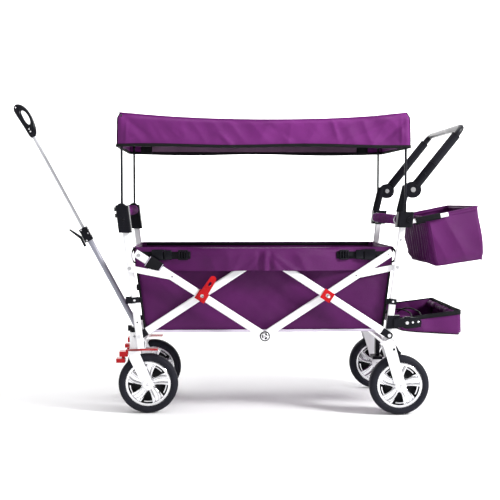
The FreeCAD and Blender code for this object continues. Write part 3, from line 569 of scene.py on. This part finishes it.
inside = []
for side in (-1, 1):
    y = side * (CAN_HALF - 0.0065)
    xs = [lerp(-0.372, 0.478, i / 60) for i in range(61)]
    pts = [Vector((x, y + side * 0.0012 * sin(x * 40), CAN_LOW + 0.0305)) for x in xs]
    inside.append(ribbon("net_%d" % side, pts, 0.047, 0.0012, "mesh_net"))
    edge = [Vector((p.x, p.y, CAN_LOW + 0.005)) for p in pts]
    inside.append(ribbon("net_edge_%d" % side, edge, 0.010, 0.0022, "dark_nylon"))
    for x0, x1 in ((-0.418, -0.372), (0.478, 0.524)):
        pts = [Vector((lerp(x0, x1, i / 4), y, CAN_LOW + 0.0285)) for i in range(5)]
        inside.append(ribbon("patch_%d_%g" % (side, x0), pts, 0.055, 0.0018, "dark_nylon"))
canopy_net = join("canopy_net_windows", inside)
for o in (canopy, canopy_trim, canopy_net):
    fold_with_frame(o, "canopy_front")


# --- basket ---
TOP, LOW = 0.610, 0.303     # the basket's rim and floor
WALL = 0.2265               # half its width
INSET = 0.0165              # from the posts to its end walls


def front_wall(z):
    return on_front(z) + INSET


def rear_wall(z):
    return on_rear(z) - INSET


def basket_push(p, n):
    mid = smooth(front_wall(p.z), front_wall(p.z) + 0.12, p.x)
    mid *= 1 - smooth(rear_wall(p.z) - 0.12, rear_wall(p.z), p.x)
    height = (p.z - LOW) / (TOP - LOW)
    if height < 0.02:
        return Vector((0, 0, 0.0015 * noise.noise(p * 9.0)))
    body = sin(pi * min(1.0, max(0.0, height)))
    out = 0.0035 * noise.noise(p * 5.0) * body
    out += folds(p, 0.9, 15.0, 0.0052, 1.3) * body * 0.8
    out += folds(p, -0.7, 11.0, 0.0052, 5.9) * body * mid
    out -= 0.003 * body
    return n * out


tub_corners = [(front_wall(TOP), TOP), (rear_wall(TOP), TOP), (rear_wall(LOW), LOW), (front_wall(LOW), LOW)]
tub, ring = vessel("basket_cloth", tub_corners, WALL, 0.016, "purple_nylon", (120, 50, 4), 26, basket_push)
tub_rim = row_points(tub, 0, ring)
tub = solid(tub, CLOTH, -1.0)
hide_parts("basket_tub")

rim_line = [p + Vector((0, 0, 0.001)) for p in tub_rim]
edging = [piping("basket_rim", rim_line, 0.0034, "light_purple_nylon", True)]
for sy in (-1, 1):
    xs = [lerp(front_wall(TOP) + 0.02, rear_wall(TOP) - 0.02, i / 40) for i in range(41)]
    pts = [Vector((x, sy * (WALL - 0.0045), TOP - 0.004)) for x in xs]
    edging.append(ribbon("basket_inner_tape_%d" % sy, pts, 0.011, 0.0016, "dark_nylon"))
for sx, wall in ((1, front_wall), (-1, rear_wall)):
    for sy in (-1, 1):
        pts = []
        for i in range(24):
            z = lerp(LOW + 0.004, TOP, i / 23)
            pts.append(Vector((wall(z) + sx * 0.004, sy * (WALL - 0.001), z)))
        edging.append(piping("basket_edge_%d_%d" % (sx, sy), pts, 0.0042, "dark_nylon"))
for sy in (-1, 1):
    xs = [lerp(front_wall(LOW) + 0.01, rear_wall(LOW) - 0.01, i / 60) for i in range(61)]
    pts = []
    for x in xs:
        ripple = 0.0012 * noise.noise(Vector((x * 30, sy, 0)))
        pts.append(Vector((x, sy * (WALL + 0.0012), LOW + 0.0045 + ripple)))
    edging.append(ribbon("basket_hem_%d" % sy, pts, 0.009, 0.0018, "pale_webbing"))
basket_edging = join("basket_binding", edging)


FLAP_LOW = 0.531            # the cuff's hem
FLAP_OUT = 0.0455           # how far the cuff stands off the tub where it clears the struts
FLAP_PLEAT = 0.063          # x of the centre pleat
FAN = [(0.9, 0.012, 1), (-0.85, 0.012, -0.7), (1.9, 0.016, 1), (-1.8, 0.016, -0.7)]  # slope, width, height


def flap_away(x):
    """0 where the cuff lies on the tub, 1 where it stands outside the struts."""
    return smooth(-0.290, -0.062, x) * (1 - smooth(0.188, 0.416, x))


def flap(sy):
    """The cuff over the struts: near the tub at its ends, outside the struts in the middle, with pleats."""
    x0, x1 = front_wall(TOP) + 0.006, rear_wall(TOP) - 0.006
    cols, rows = 170, 28
    verts = []
    faces = []
    for i in range(cols + 1):
        x = lerp(x0, x1, i / cols)
        away = flap_away(x)
        shelf = 0.24 * away
        for j in range(rows + 1):
            t = j / rows
            fall = max(0.0, (t - shelf) / (1 - shelf))
            z = lerp(TOP + 0.0035, FLAP_LOW, fall)
            z -= 0.0030 * (1 - fall) * (4 * (i / cols) * (1 - i / cols)) ** 0.5
            z += 0.0022 * cos((x - FLAP_PLEAT) * 7.0) * fall - 0.0022 * fall
            y = WALL + 0.0034 + away * FLAP_OUT * smooth(0.0, 0.26, t)
            p = Vector((x, y, z))
            d = x - FLAP_PLEAT
            pleat = exp(-(d / 0.009) ** 2) - 0.8 * exp(-((d - 0.020) / 0.009) ** 2)
            pleat -= 0.8 * exp(-((d + 0.018) / 0.010) ** 2)
            fan = 0.0
            for slope, wide, high in FAN:
                lean = d - slope * 0.055 * fall
                fan += high * exp(-(lean / (wide * (0.4 + fall))) ** 2)
            down = smooth(0.25, 0.5, t)
            out = 0.0062 * pleat * down * away + 0.0062 * fan * down * (0.3 + 0.7 * fall)
            loose = folds(p, 0.25, 16.0, 0.0050, 2.2) + folds(p, -0.5, 10.0, 0.0042, 6.1)
            out += loose * (0.2 + 0.8 * away) * down
            p.y = (y + max(-0.0015, out) * (0.35 + 0.65 * away)) * sy
            verts.append(p)
    for i in range(cols):
        for j in range(rows):
            a = i * (rows + 1) + j
            quad = (a, a + rows + 1, a + rows + 2, a + 1)
            faces.append(quad if sy > 0 else tuple(reversed(quad)))
    o = mesh_piece("basket_flap_" + HAND[sy], verts, faces, "light_purple_nylon")
    hem = [verts[i * (rows + 1) + rows] + Vector((0, sy * 0.0008, 0.002)) for i in range(cols + 1)]
    line = ribbon("flap_hem_%d" % sy, hem, 0.004, 0.0012, "purple_nylon")
    return solid(o, 0.0014, 1.0), line


flap_left, hem_left = flap(-1)
flap_right, hem_right = flap(1)
flap_hems = join("basket_flap_hems", [hem_left, hem_right])
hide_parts("basket_flaps")
for o in (tub, basket_edging, flap_left, flap_right, flap_hems):
    fold_with_frame(o)


# --- roll pads ---
def inflate(o, cap, pressure=4.0, frames=20):
    """Cloth simulation with inside pressure; no point moves further than cap."""
    o.data.remesh_voxel_size = 0.0045
    bpy.context.view_layer.objects.active = o
    bpy.ops.object.select_all(action="DESELECT")
    o.select_set(True)
    bpy.ops.object.voxel_remesh()
    start = [v.co.copy() for v in o.data.vertices]
    m = o.modifiers.new("cloth", "CLOTH")
    m.settings.quality = 5
    m.settings.use_pressure = True
    m.settings.uniform_pressure_force = pressure
    m.settings.effector_weights.gravity = 0.0
    m.settings.tension_stiffness = 15
    m.settings.shrink_min = -0.04
    m.point_cache.frame_end = frames
    for f in range(1, frames + 1):
        bpy.context.scene.frame_set(f)
    done = o.evaluated_get(bpy.context.evaluated_depsgraph_get())
    moved = [v.co.copy() for v in done.data.vertices]
    o.modifiers.clear()
    bpy.context.scene.frame_set(1)
    for v, a, b in zip(o.data.vertices, start, moved):
        d = b - a
        v.co = a + (d if d.length <= cap else d.normalized() * cap)
    o.modifiers.new("round", "SUBSURF").levels = 1
    o = bake(o)
    smooth_faces(o.data)
    return o


def roll_pad(name, x, z, radius, half, pinches, mat):
    """A padded sleeve round a tube, gathered at its ends and at the pinch places."""
    cols, segs = 110, 36
    verts = []
    for i in range(cols + 1):
        y = lerp(-half, half, i / cols)
        grip = 0.82 if min(abs(y - half), abs(y + half)) < 0.004 else 1.0
        for at in pinches:
            grip -= 0.16 * exp(-((y - at) / 0.006) ** 2)
        for k in range(segs):
            w = 2 * pi * k / segs
            lump = noise.noise(Vector((y * 25, k * 0.2, 1.0)))
            r = radius * grip * (1 + 0.035 * sin(3 * w + y * 60) * lump)
            r += 0.0016 * noise.noise(Vector((y * 70, cos(w) * 2, sin(w) * 2)))
            verts.append(Vector((x + r * cos(w), y, z + r * sin(w))))
    o = mesh_piece(name, verts, tube_faces(cols + 1, segs), mat)
    o = inflate(o, 0.004)
    return o


for end, radius, pinches in (("front", 0.0185, (-0.12, 0.0, 0.12)),
                             ("rear", 0.0178, (-0.15, -0.07, 0.07, 0.15))):
    low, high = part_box(end + "_roll_pad")
    x, z = (low.x + high.x) / 2, (low.z + high.z) / 2
    pad = roll_pad(end + "_pad", x, z, radius, 0.234, pinches, "pad_nylon")
    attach(pad, end + "_frame")
    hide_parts(end + "_roll_pad")


# --- rear bag ---
def bag_push(p, n):
    t = min(1.0, max(0.0, (0.745 - p.z) / 0.19))
    body = sin(pi * t)
    out = 0.004 * noise.noise(p * 7.0) * (0.3 + body)
    front = smooth(-0.6, -0.9, n.x)
    rear = smooth(0.6, 0.9, n.x)
    side = smooth(0.5, 0.9, abs(n.y))
    pleats = sin(p.y * 150.0 + 2.0 * noise.noise(Vector((p.y * 12, p.z * 5, 0))))
    out += front * (0.0065 * pleats * (0.35 + 0.65 * t) - 0.006 * body)
    out += side * (folds(p, 0.75, 13.0, 0.0055, 4.4) + folds(p, -0.9, 9.0, 0.0045, 7.7)) * (0.4 + 0.6 * body)
    out += side * 0.0035 * body - rear * 0.003 * body
    if n.z < -0.7 and p.z < 0.60:
        out += 0.004 * noise.noise(p * 6.0)
    return n * out


bag_corners = [(0.653 + DX, 0.7215), (0.850 + DX, 0.7615), (0.880 + DX, 0.567), (0.691 + DX, 0.543)]
# points along each stretch of a ring, and the number of rings
BAG_LONG, BAG_ACROSS, BAG_CORNER, BAG_ROWS = 56, 110, 4, 30
bag, ring = vessel("bag_cloth", bag_corners, 0.2235, 0.012, "light_purple_nylon",
                   (BAG_LONG, BAG_ACROSS, BAG_CORNER), BAG_ROWS, bag_push)
bag_rows = [row_points(bag, row, ring) for row in range(BAG_ROWS)]
bag_rim, bag_base = bag_rows[0], bag_rows[-1]
bag = solid(bag, CLOTH, -1.0)
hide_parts("rear_bag")
bag_tape = [p - Vector((0, 0, 0.008)) for p in bag_rim]
bag_bits = [
    piping("bag_rim", bag_rim, 0.0032, "light_purple_nylon", True),
    piping("bag_base_seam", bag_base, 0.0020, "purple_nylon", True),
    ribbon("bag_rim_tape", bag_tape, 0.012, 0.0030, "light_purple_nylon", True),
]
turn = BAG_CORNER + 1
for k in (BAG_LONG + turn, BAG_LONG + turn + BAG_ACROSS, 2 * (BAG_LONG + turn) + BAG_ACROSS, 0):
    seam = [row[k] for row in bag_rows[::2]]
    bag_bits.append(piping("bag_corner_%d" % k, seam, 0.0016, "purple_nylon"))
bag_binding = join("bag_binding", bag_bits)
for o in (bag, bag_binding):
    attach(o, "bag")


# --- rear tray ---
def tray_push(p, n):
    out = 0.0025 * noise.noise(p * 9.0)
    side = smooth(0.5, 0.9, abs(n.y))
    out += side * folds(p, 0.5, 14.0, 0.0034, 9.9)
    if n.z > 0.6 or n.z < -0.6:
        out += 0.0035 * noise.noise(p * 12.0)
    return n * out


tray_corners = [(0.562 + DX, 0.350), (0.7885 + DX, 0.3775), (0.7935 + DX, 0.2875), (0.562 + DX, 0.305)]
TRAY_LONG, TRAY_ACROSS, TRAY_CORNER, TRAY_ROWS = 60, 100, 4, 18
tray, ring = vessel("tray_cloth", tray_corners, 0.2295, 0.014, "light_purple_nylon",
                    (TRAY_LONG, TRAY_ACROSS, TRAY_CORNER), TRAY_ROWS, tray_push)
tray_rim = row_points(tray, 0, ring)
tray_base = row_points(tray, TRAY_ROWS - 1, ring)
tray = solid(tray, CLOTH, -1.0)
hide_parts("rear_tray")
band = [Vector((p.x, p.y * 1.006, p.z - 0.0065)) for p in tray_rim]
tray_bits = [
    ribbon("tray_band", band, 0.013, 0.0034, "dark_nylon", True),
    piping("tray_rim", tray_rim, 0.0030, "dark_nylon", True),
    piping("tray_base_seam", tray_base, 0.0026, "dark_nylon", True),
]
for k in (TRAY_LONG + 2, TRAY_LONG + TRAY_CORNER + TRAY_ACROSS + 2):
    column_points = [lerp(tray_rim[k], tray_base[k], i / 12) for i in range(13)]
    tray_bits.append(piping("tray_corner_%d" % k, column_points, 0.0026, "dark_nylon"))
ARCH_HALF = 0.215
for x, rise in ((0.605, 0.0), (0.640, 0.004)):
    arch = []
    for i in range(41):
        y = lerp(-ARCH_HALF, ARCH_HALF, i / 40)
        up = 0.030 * (1 - (y / ARCH_HALF) ** 4)
        arch.append(Vector((x + 0.035 * (1 - (y / ARCH_HALF) ** 2), y, 0.318 + rise + up)))
    tray_bits.append(piping("tray_arch_%g" % x, arch, 0.0032, "dark_nylon"))
roll = []
for i in range(61):
    y = lerp(-0.205, 0.205, i / 60)
    roll.append(Vector((0.776 + 0.002 * sin(y * 90), y, 0.358 + 0.0015 * sin(y * 140))))
ruffle = piping("tray_back_roll", roll, 0.011, "light_purple_nylon")
for v in ruffle.data.vertices:
    v.co += v.normal * 0.0028 * sin(v.co.y * 260.0)
tray_bits.append(ruffle)
tray_binding = join("tray_binding", tray_bits)
for o in (tray, tray_binding):
    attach(o, "tray")


# --- straps and buckles ---
def buckle_strap(sx, x_end, x_in, tag):
    """A side-release buckle and ladder lock on webbing at the top corner of the basket's near side."""
    z = 0.586               # middle of the webbing

    def face(x):
        return -(WALL + 0.0078 + FLAP_OUT * flap_away(x))

    def block(name, x, dy, dz, size, mat, bevel):
        slope = (face(x + 0.004) - face(x - 0.004)) / 0.008
        pieces.append(rbox(name + tag, (x, face(x) + dy, z + dz), size, mat, bevel, (0, 0, atan(slope))))

    pieces = []
    n = 24
    pts = []
    for i in range(n + 1):
        x = lerp(x_end, x_in, i / n)
        pts.append(Vector((x, face(x), z - 0.002 * sin(3.0 * i / n))))
    pieces.append(ribbon("strap" + tag, pts, 0.026, 0.0024, "dark_nylon"))
    at = lerp(x_end, x_in, 0.38)
    block("buckle_a", at, -0.0045, 0, (0.042, 0.010, 0.039), "gloss_black_plastic", 0.004)
    block("buckle_b", at + sx * 0.038, -0.0045, 0, (0.030, 0.009, 0.034), "gloss_black_plastic", 0.004)
    for k in (-1, 1):
        prong = (0.026, 0.008, 0.005)
        block("prong%d" % k, at + sx * 0.019, -0.0055, k * 0.0165, prong, "gloss_black_plastic", 0.0018)
    lock = lerp(x_end, x_in, 0.86)
    for k in (-1.4, -0.4, 0.6, 1.4):
        block("bar%g" % k, lock + k * 0.010, -0.004, 0, (0.0050, 0.0075, 0.033), "black_plastic", 0.0016)
    for k in (-1, 1):
        block("rail%d" % k, lock, -0.004, k * 0.0155, (0.036, 0.0075, 0.0050), "black_plastic", 0.0016)
    loop = []
    for i in range(21):
        a = radians(-100 + 200 * i / 20)
        x = x_end - sx * (0.006 + 0.014 * cos(a))
        loop.append(Vector((x, face(x_end) + 0.004, TOP - 0.026 + 0.026 * sin(a))))
    pieces.append(piping("corner_loop" + tag, loop, 0.0035, "dark_nylon"))
    return pieces


straps = buckle_strap(1, front_wall(0.59) + 0.012, -0.205, "_f")
straps += buckle_strap(-1, rear_wall(0.59) - 0.012, 0.325, "_r")
straps_left = join("basket_straps_left", straps)
straps_right = mirror_y(straps_left, "basket_straps_right")
for o in (straps_left, straps_right):
    fold_with_frame(o)


def strut_sleeve(side):
    """A stitched fabric sleeve on the front high strut, with a wire ring."""
    centre = Vector((FRONT_FOOT.x + 0.0545, side * 0.266, 0.5871 - 0.0354))
    angle = radians(33)
    shell = rbox("sleeve_%d" % side, centre, (0.060, 0.0162, 0.046), "dark_nylon", 0.006, (0, angle, 0))
    shell.modifiers.new("s", "SUBSURF").levels = 1
    shell = bake(shell)
    edge = []
    ux = Vector((cos(angle), 0, -sin(angle)))
    uz = Vector((sin(angle), 0, cos(angle)))
    for k in (-1, 1):
        a = centre + ux * (k * 0.026) + Vector((0, side * 0.0088, 0))
        pts = [a + uz * lerp(-0.020, 0.020, i / 8) for i in range(9)]
        edge.append(ribbon("sleeve_edge_%d_%d" % (side, k), pts, 0.0022, 0.0012, "pale_webbing", sides=ux))
    hang = centre + uz * -0.028 + Vector((0, side * 0.0092, 0))
    edge.append(piping("sleeve_ring_%d" % side, oval(hang, ux, uz, 0.013, 0.010, 24), 0.0009, "steel", True))
    return join("strut_sleeve_" + HAND[side], [shell] + edge)


for side in (-1, 1):
    o = strut_sleeve(side)
    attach(o, "strut_a")


# --- wheels ---
SPOKES = 5
LIP = [(0.0725, 0.0150), (0.0745, 0.0188), (0.0790, 0.0205), (0.0828, 0.0200), (0.0826, 0.0170),
       (0.0790, 0.0165), (0.0755, 0.0140)]      # radius, and distance from the wheel's middle


def rim_lip(c, f):
    """The bright ring at the edge of the rim, on face f."""
    segs = 72
    verts = []
    for r, a in LIP:
        for k in range(segs):
            w = 2 * pi * k / segs
            verts.append(c + Vector((r * cos(w), a * f, r * sin(w))))
    return mesh_piece("lip%d" % f, verts, tube_faces(len(LIP), segs, closed=True), "rim_chrome")


def blade(c, f, spoke, pair):
    """Half of a turbine spoke: it narrows and turns on its way out, with a crowned face."""
    rows, cols = 14, 6
    verts = []
    faces = []
    for i in range(rows + 1):
        u = i / rows
        r = lerp(0.0195, 0.0755, u)
        mid = spoke + radians(10.0 * u * u) * f + radians(lerp(19.0, 9.5, u)) * pair
        wide = radians(lerp(9.5, 5.2, u))
        for j in range(cols + 1):
            v = j / cols * 2 - 1
            w = mid + wide * v
            rise = 0.0135 + 0.0050 * (1 - v * v) * (0.5 + 0.5 * sin(pi * u)) + 0.002 * (1 - u)
            verts.append(c + Vector((r * cos(w), rise * f, r * sin(w))))
            if i < rows and j < cols:
                a = i * (cols + 1) + j
                faces.append((a, a + 1, a + cols + 2, a + cols + 1))
    return solid(mesh_piece("blade", verts, faces, "rim_chrome"), 0.0045, -1.0 if f > 0 else 1.0)


def wheel_face(name, body, node, fork_body):
    """Bright turbine spokes over a dark well, a rim lip and a hub cap, on both faces of the wheel."""
    low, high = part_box(node)
    c = (low + high) / 2
    pieces = [turned("well", [(0.074, -0.002), (0.074, 0.002)], c, "rim_dark", 64)]
    for f in (-1, 1):
        pieces.append(rim_lip(c, f))
        for s in range(SPOKES):
            spoke = 2 * pi * s / SPOKES + pi / 2
            pieces += [blade(c, f, spoke, pair) for pair in (-1, 1)]
            gap = 2 * pi * (s + 0.5) / SPOKES + pi / 2
            dish = []
            for i in range(9):
                w = gap + radians(-13 + 26 * i / 8)
                dish.append(c + Vector((0.0665 * cos(w), 0.0135 * f, 0.0665 * sin(w))))
            pieces.append(piping("dish", dish, 0.0030, "rim_chrome"))
        boss = [(0.0195, 0.0180), (0.0195, 0.0252), (0.017, 0.0262), (0.0, 0.0262)]
        pieces.append(turned("boss", boss, c, "rim_chrome", 40, f))
    fitted(name, pieces, body)
    caps = []
    for f in (-1, 1):
        cap = [(0.0205, 0.0360), (0.0205, 0.0395), (0.0185, 0.0412), (0.011, 0.0418), (0.0, 0.0418)]
        caps.append(turned("cap", cap, c, "white_paint", 48, f))
        screw = [(0.0052, 0.0416), (0.0052, 0.0428), (0.0040, 0.0434), (0.0, 0.0434)]
        caps.append(turned("screw", screw, c, "steel", 6, f))
    fitted(name.replace("face", "hub_caps"), caps, fork_body)


for end, forks in (("front", ("caster_left", "caster_right")), ("rear", ("rear_frame", "rear_frame"))):
    for hand, fork in zip(("left", "right"), forks):
        tag = "%s_%s" % (end, hand)
        wheel_face("wheel_face_" + tag, "wheel_" + tag, "rim_" + tag, fork)


# --- pull grip ---
PULL = Vector((-0.412 + DX, 0, 0.285))
PULL_TILT = radians(118)
PULL_DIR = Vector((cos(PULL_TILT), 0, sin(PULL_TILT)))
PULL_SIDE = Vector((-sin(PULL_TILT), 0, cos(PULL_TILT)))
GRIP = 838                  # where the grip starts along the pull handle, in mm
GRIP_OUTER = [(0, -12.5), (-2, 0), (0, 12), (18, 23), (60, 31.5), (108, 30.5), (136, 14), (143, -4),
              (132, -19), (108, -21), (60, -15), (14, -14)]
GRIP_HOLE = [(46, 9), (62, 20), (97, 19), (113, 7), (104, 0), (59, 0)]


def pull_at(distance, side, y=0.0):
    """A point by mm along and beside the pull handle, and metres across."""
    return PULL + PULL_DIR * (distance / 1000) + PULL_SIDE * (side / 1000) + Vector((0, y, 0))


def rounded(points, n):
    """A smooth closed curve of n points near a polygon's corners."""
    out = []
    m = len(points)
    for i in range(n):
        f = i * m / n
        k = int(f)
        t = f - k
        p0, p1, p2, p3 = (Vector(points[(k + d) % m]) for d in (-1, 0, 1, 2))
        near = 3 * t ** 3 - 6 * t * t + 4
        far = -3 * t ** 3 + 3 * t * t + 3 * t + 1
        out.append(((1 - t) ** 3 * p0 + near * p1 + far * p2 + t ** 3 * p3) / 6)
    return out


def by_angle(curve, centre, n):
    """The curve's points in n even directions from a centre."""
    found = []
    for i in range(n):
        a = 2 * pi * i / n
        d = Vector((cos(a), sin(a)))
        found.append(max(curve, key=lambda p: (p - centre).normalized().dot(d)))
    return found


def hand_grip():
    """A closed D loop with a thick hand bar and a thinner bow."""
    centre = Vector((80.0, 9.0))
    n, m = 96, 20
    out = by_angle(rounded(GRIP_OUTER, 720), centre, n)
    inn = by_angle(rounded(GRIP_HOLE, 720), centre, n)
    verts = []
    for i in range(n):
        mid = (out[i] + inn[i]) / 2
        half = (out[i] - inn[i]) / 2
        thick = 0.0155 if half.length > 7.5 else lerp(0.0115, 0.0155, max(0.0, (half.length - 4) / 3.5))
        for j in range(m):
            a = 2 * pi * j / m
            c, s = cos(a), sin(a)
            c = copysign(abs(c) ** 0.8, c)
            s = copysign(abs(s) ** 0.8, s)
            q = mid + half * c
            verts.append(pull_at(GRIP + q.x, -q.y, thick * s))
    pieces = [mesh_piece("grip_body", verts, tube_faces(n, m, closed=True), "gloss_black_plastic")]
    for a in (22, 34, 128):
        for f in (-1, 1):
            at = pull_at(GRIP + a, 0 if a < 100 else 6, f * 0.0145)
            screw = [(0.0030, 0), (0.0030, 0.0012), (0.0, 0.0014)]
            pieces.append(turned("grip_screw", screw, at, "steel", 16, f))
    for k in range(9):
        rib = []
        for i in range(13):
            w = pi * i / 12
            rib.append(pull_at(GRIP + 62 + k * 6, 13.5 + 2.2 * sin(w), 0.0158 * cos(w)))
        pieces.append(piping("grip_rib", rib, 0.0009, "black_plastic"))
    return join("hand_grip", pieces)


grip = hand_grip()
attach(grip, "pull_slider")
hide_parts("pull_grip")

bits = []
for at, side in ((396, 10), (440, 10), (418, -8)):
    for f in (-1, 1):
        dot = [(0.0032, 0), (0.0032, 0.0010), (0.0, 0.0014)]
        bits.append(turned("dot", dot, pull_at(at, side, f * 0.0160), "steel", 16, f))
for at in (394, 404, 430, 440):
    loop = [pull_at(at, s, y * 0.0162) for s, y in ((-15.2, -1), (18.2, -1), (18.2, 1), (-15.2, 1))]
    bits.append(piping("clamp_line", loop, 0.0010, "black_plastic", True))
fitted("pull_clamp_rivets", bits, "pull_handle")


# --- small fittings ---
def button_head(at, f, r=0.0035, mat="steel"):
    """A domed rivet or bolt head that faces out at side f."""
    return turned("head", [(r, 0), (r, 0.0010), (r * 0.7, 0.0019), (0.0, 0.0021)], at, mat, 20, f)


CLAMP_DOME = [(0.0, -0.019), (0.0165, -0.0185), (0.0180, -0.015), (0.0180, 0.015), (0.0165, 0.0185),
              (0.0, 0.019)]
pad_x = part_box("rear_roll_pad")[0].x + 0.019
clamps_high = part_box("front_pole_clamps")[1]
front_bits = []
rear_bits = []
for f in (-1, 1):
    front_face = f * 0.2661
    rear_face = f * 0.2561
    front_bits.append(button_head((on_front(0.345), front_face, 0.345), f, 0.0028, "rim_dark"))
    front_bits.append(button_head((on_front(0.425), front_face + f * 0.0029, 0.425), f, 0.0045))
    rear_bits.append(button_head((on_rear(0.415), rear_face + f * 0.0029, 0.415), f, 0.0045))
    rear_bits.append(button_head((on_rear(0.640), rear_face, 0.640), f, 0.0028, "rim_dark"))
    for z in (0.690, 0.742):
        at = (on_front(z), f * 0.2935, z)
        front_bits.append(rbox("rib", at, (0.040, 0.0022, 0.003), "black_plastic", 0.001))
    front_bits.append(button_head((on_front(0.716), f * 0.2938, 0.716), f, 0.0060, "gloss_black_plastic"))
    ring = oval(Vector((pad_x, f * 0.2355, 0.713)), Vector((1, 0, 0)), Vector((0, 0, 1)), 0.0186, 0.0186, 24)
    rear_bits.append(piping("pad_ring", ring, 0.0022, "steel", True))
    dome = Vector((on_front(0.745) - 0.004, f * (clamps_high.y - 0.020), clamps_high.z - 0.010))
    front_bits.append(turned("clamp_dome", CLAMP_DOME, dome, "black_plastic", 40))
fitted("front_fittings", front_bits, "front_frame")
fitted("rear_fittings", rear_bits, "rear_frame")

tray_heads = []
for f in (-1, 1):
    for x, z in ((0.604, 0.339), (0.624, 0.341)):
        tray_heads.append(button_head((x, f * 0.2597, z), f, 0.0044))
fitted("tray_plate_bolts", tray_heads, "tray")

MIDDLE = 0.063 + DX         # x half way between the posts' feet
CROSS_OUT, CROSS_HIGH = 0.22644, 0.44005        # where the struts cross, from the middle and above the floor
lock_bits = []
for f in (-1, 1):
    at = Vector((MIDDLE, f * 0.2722, FOOT_Z))
    low_ring = [(0.0185, 0), (0.0185, 0.0018), (0.0, 0.0018)]
    lock_bits.append(turned("low_ring", low_ring, at, "rim_dark", 40, f))
    low_cap = [(0.0145, 0.001), (0.0145, 0.0032), (0.012, 0.0040), (0.0, 0.0042)]
    lock_bits.append(turned("low_cap", low_cap, at, "rim_chrome", 40, f))
    for start in (0.4, 2.6, 4.6):
        arc = []
        for w in (0, 0.25, 0.5, 0.75, 1.0, 1.2):
            arc.append(at + Vector((0.0085 * cos(start + w), f * 0.0042, 0.0085 * sin(start + w))))
        lock_bits.append(piping("low_arc", arc, 0.0026, "rim_dark"))
    low_pin = [(0.0035, 0.0040), (0.0035, 0.0050), (0.0, 0.0052)]
    lock_bits.append(turned("low_pin", low_pin, at, "steel", 16, f))
for f in (-1, 1):
    at = Vector((MIDDLE - CROSS_OUT, f * 0.2771, CROSS_HIGH))
    lock_bits.append(button_head(at + Vector((0.004, 0, -0.006)), f, 0.0052))
fitted("lock_rivets", lock_bits, "strut_a")

catch_bits = []
for f in (-1, 1):
    at = Vector((MIDDLE + CROSS_OUT, f * 0.2781, CROSS_HIGH))
    catch_bits.append(button_head(at + Vector((0.004, 0, -0.004)), f, 0.0058))
fitted("catch_rivets", catch_bits, "strut_c")

arm_bits = []
ux, uz = 0.181 / 0.2903, 0.227 / 0.2903         # direction of the push arms
for f in (-1, 1):
    for d in (0.1235, 0.2520):
        c = Vector((0.599 + DX + ux * d, f * 0.255, 0.822 + uz * d))
        ring = oval(c, Vector((-uz, 0, ux)), Vector((0, 1, 0)), 0.0162, 0.0162, 28)
        arm_bits.append(piping("foam_end", ring, 0.0016, "black_plastic", True))
fitted("foam_end_rings", arm_bits, "push_handle")


# --- floor, light and camera ---
def stage_floor():
    """A white floor that curves up into a wall behind the wagon."""
    verts = []
    faces = []
    sweep = [pi / 2 * i / 12 for i in range(1, 13)]
    ys = [-8.0, 3.2] + [3.2 + 2.0 * sin(a) for a in sweep] + [5.2]
    zs = [0.0, 0.0] + [2.0 - 2.0 * cos(a) for a in sweep] + [9.0]
    for y, z in zip(ys, zs):
        for x in (-12.0, 12.0):
            verts.append((x, y, z - 0.0005))
    for i in range(len(ys) - 1):
        faces.append((2 * i, 2 * i + 1, 2 * i + 3, 2 * i + 2))
    t, p, c = base("floor", (0.93, 0.93, 0.94), 0.8)
    cloud = noise_node(t, c, 1.5, 2.0)
    tone = ramp(t, cloud, "Fac", [(0.3, (0.92, 0.92, 0.93)), (0.7, (0.95, 0.95, 0.95))])
    links(t, tone, "Color", p, "Base Color")
    mesh_piece("studio_floor", verts, faces, "floor")


stage_floor()
world = bpy.data.worlds.new("studio")
bpy.context.scene.world = world
world.use_nodes = True
world.node_tree.nodes["Background"].inputs["Color"].default_value = (1.0, 1.0, 1.0, 1)
world.node_tree.nodes["Background"].inputs["Strength"].default_value = 0.55


def area_light(name, at, towards, size, power):
    data = bpy.data.lights.new(name, "AREA")
    data.shape = "RECTANGLE"
    data.size, data.size_y = size
    data.energy = power
    o = put(name, data)
    o.location = at
    o.rotation_euler = (Vector(towards) - Vector(at)).to_track_quat("-Z", "Y").to_euler()


area_light("key", (3.4, -1.9, 2.6), (0, 0, 0.5), (0.9, 0.9), 230)
area_light("fill", (-2.8, -2.6, 1.2), (0, 0, 0.6), (2.0, 2.0), 16)
area_light("top", (0.0, 0.4, 3.6), (0, 0, 0.4), (3.4, 2.8), 80)
area_light("back", (0.5, 2.9, 1.5), (0, 5.2, 1.2), (6.0, 2.0), 190)

camera_data = bpy.data.cameras.new("camera")
camera_data.sensor_width = 36.0
camera_data.lens = 69.12
camera = put("camera", camera_data)
camera.location = (-0.135, -3.715, 0.781)
camera.rotation_euler = (radians(90 - 2.92), 0.0, radians(-2.4))
bpy.context.scene.camera = camera
bpy.context.scene.view_settings.view_transform = "Standard"
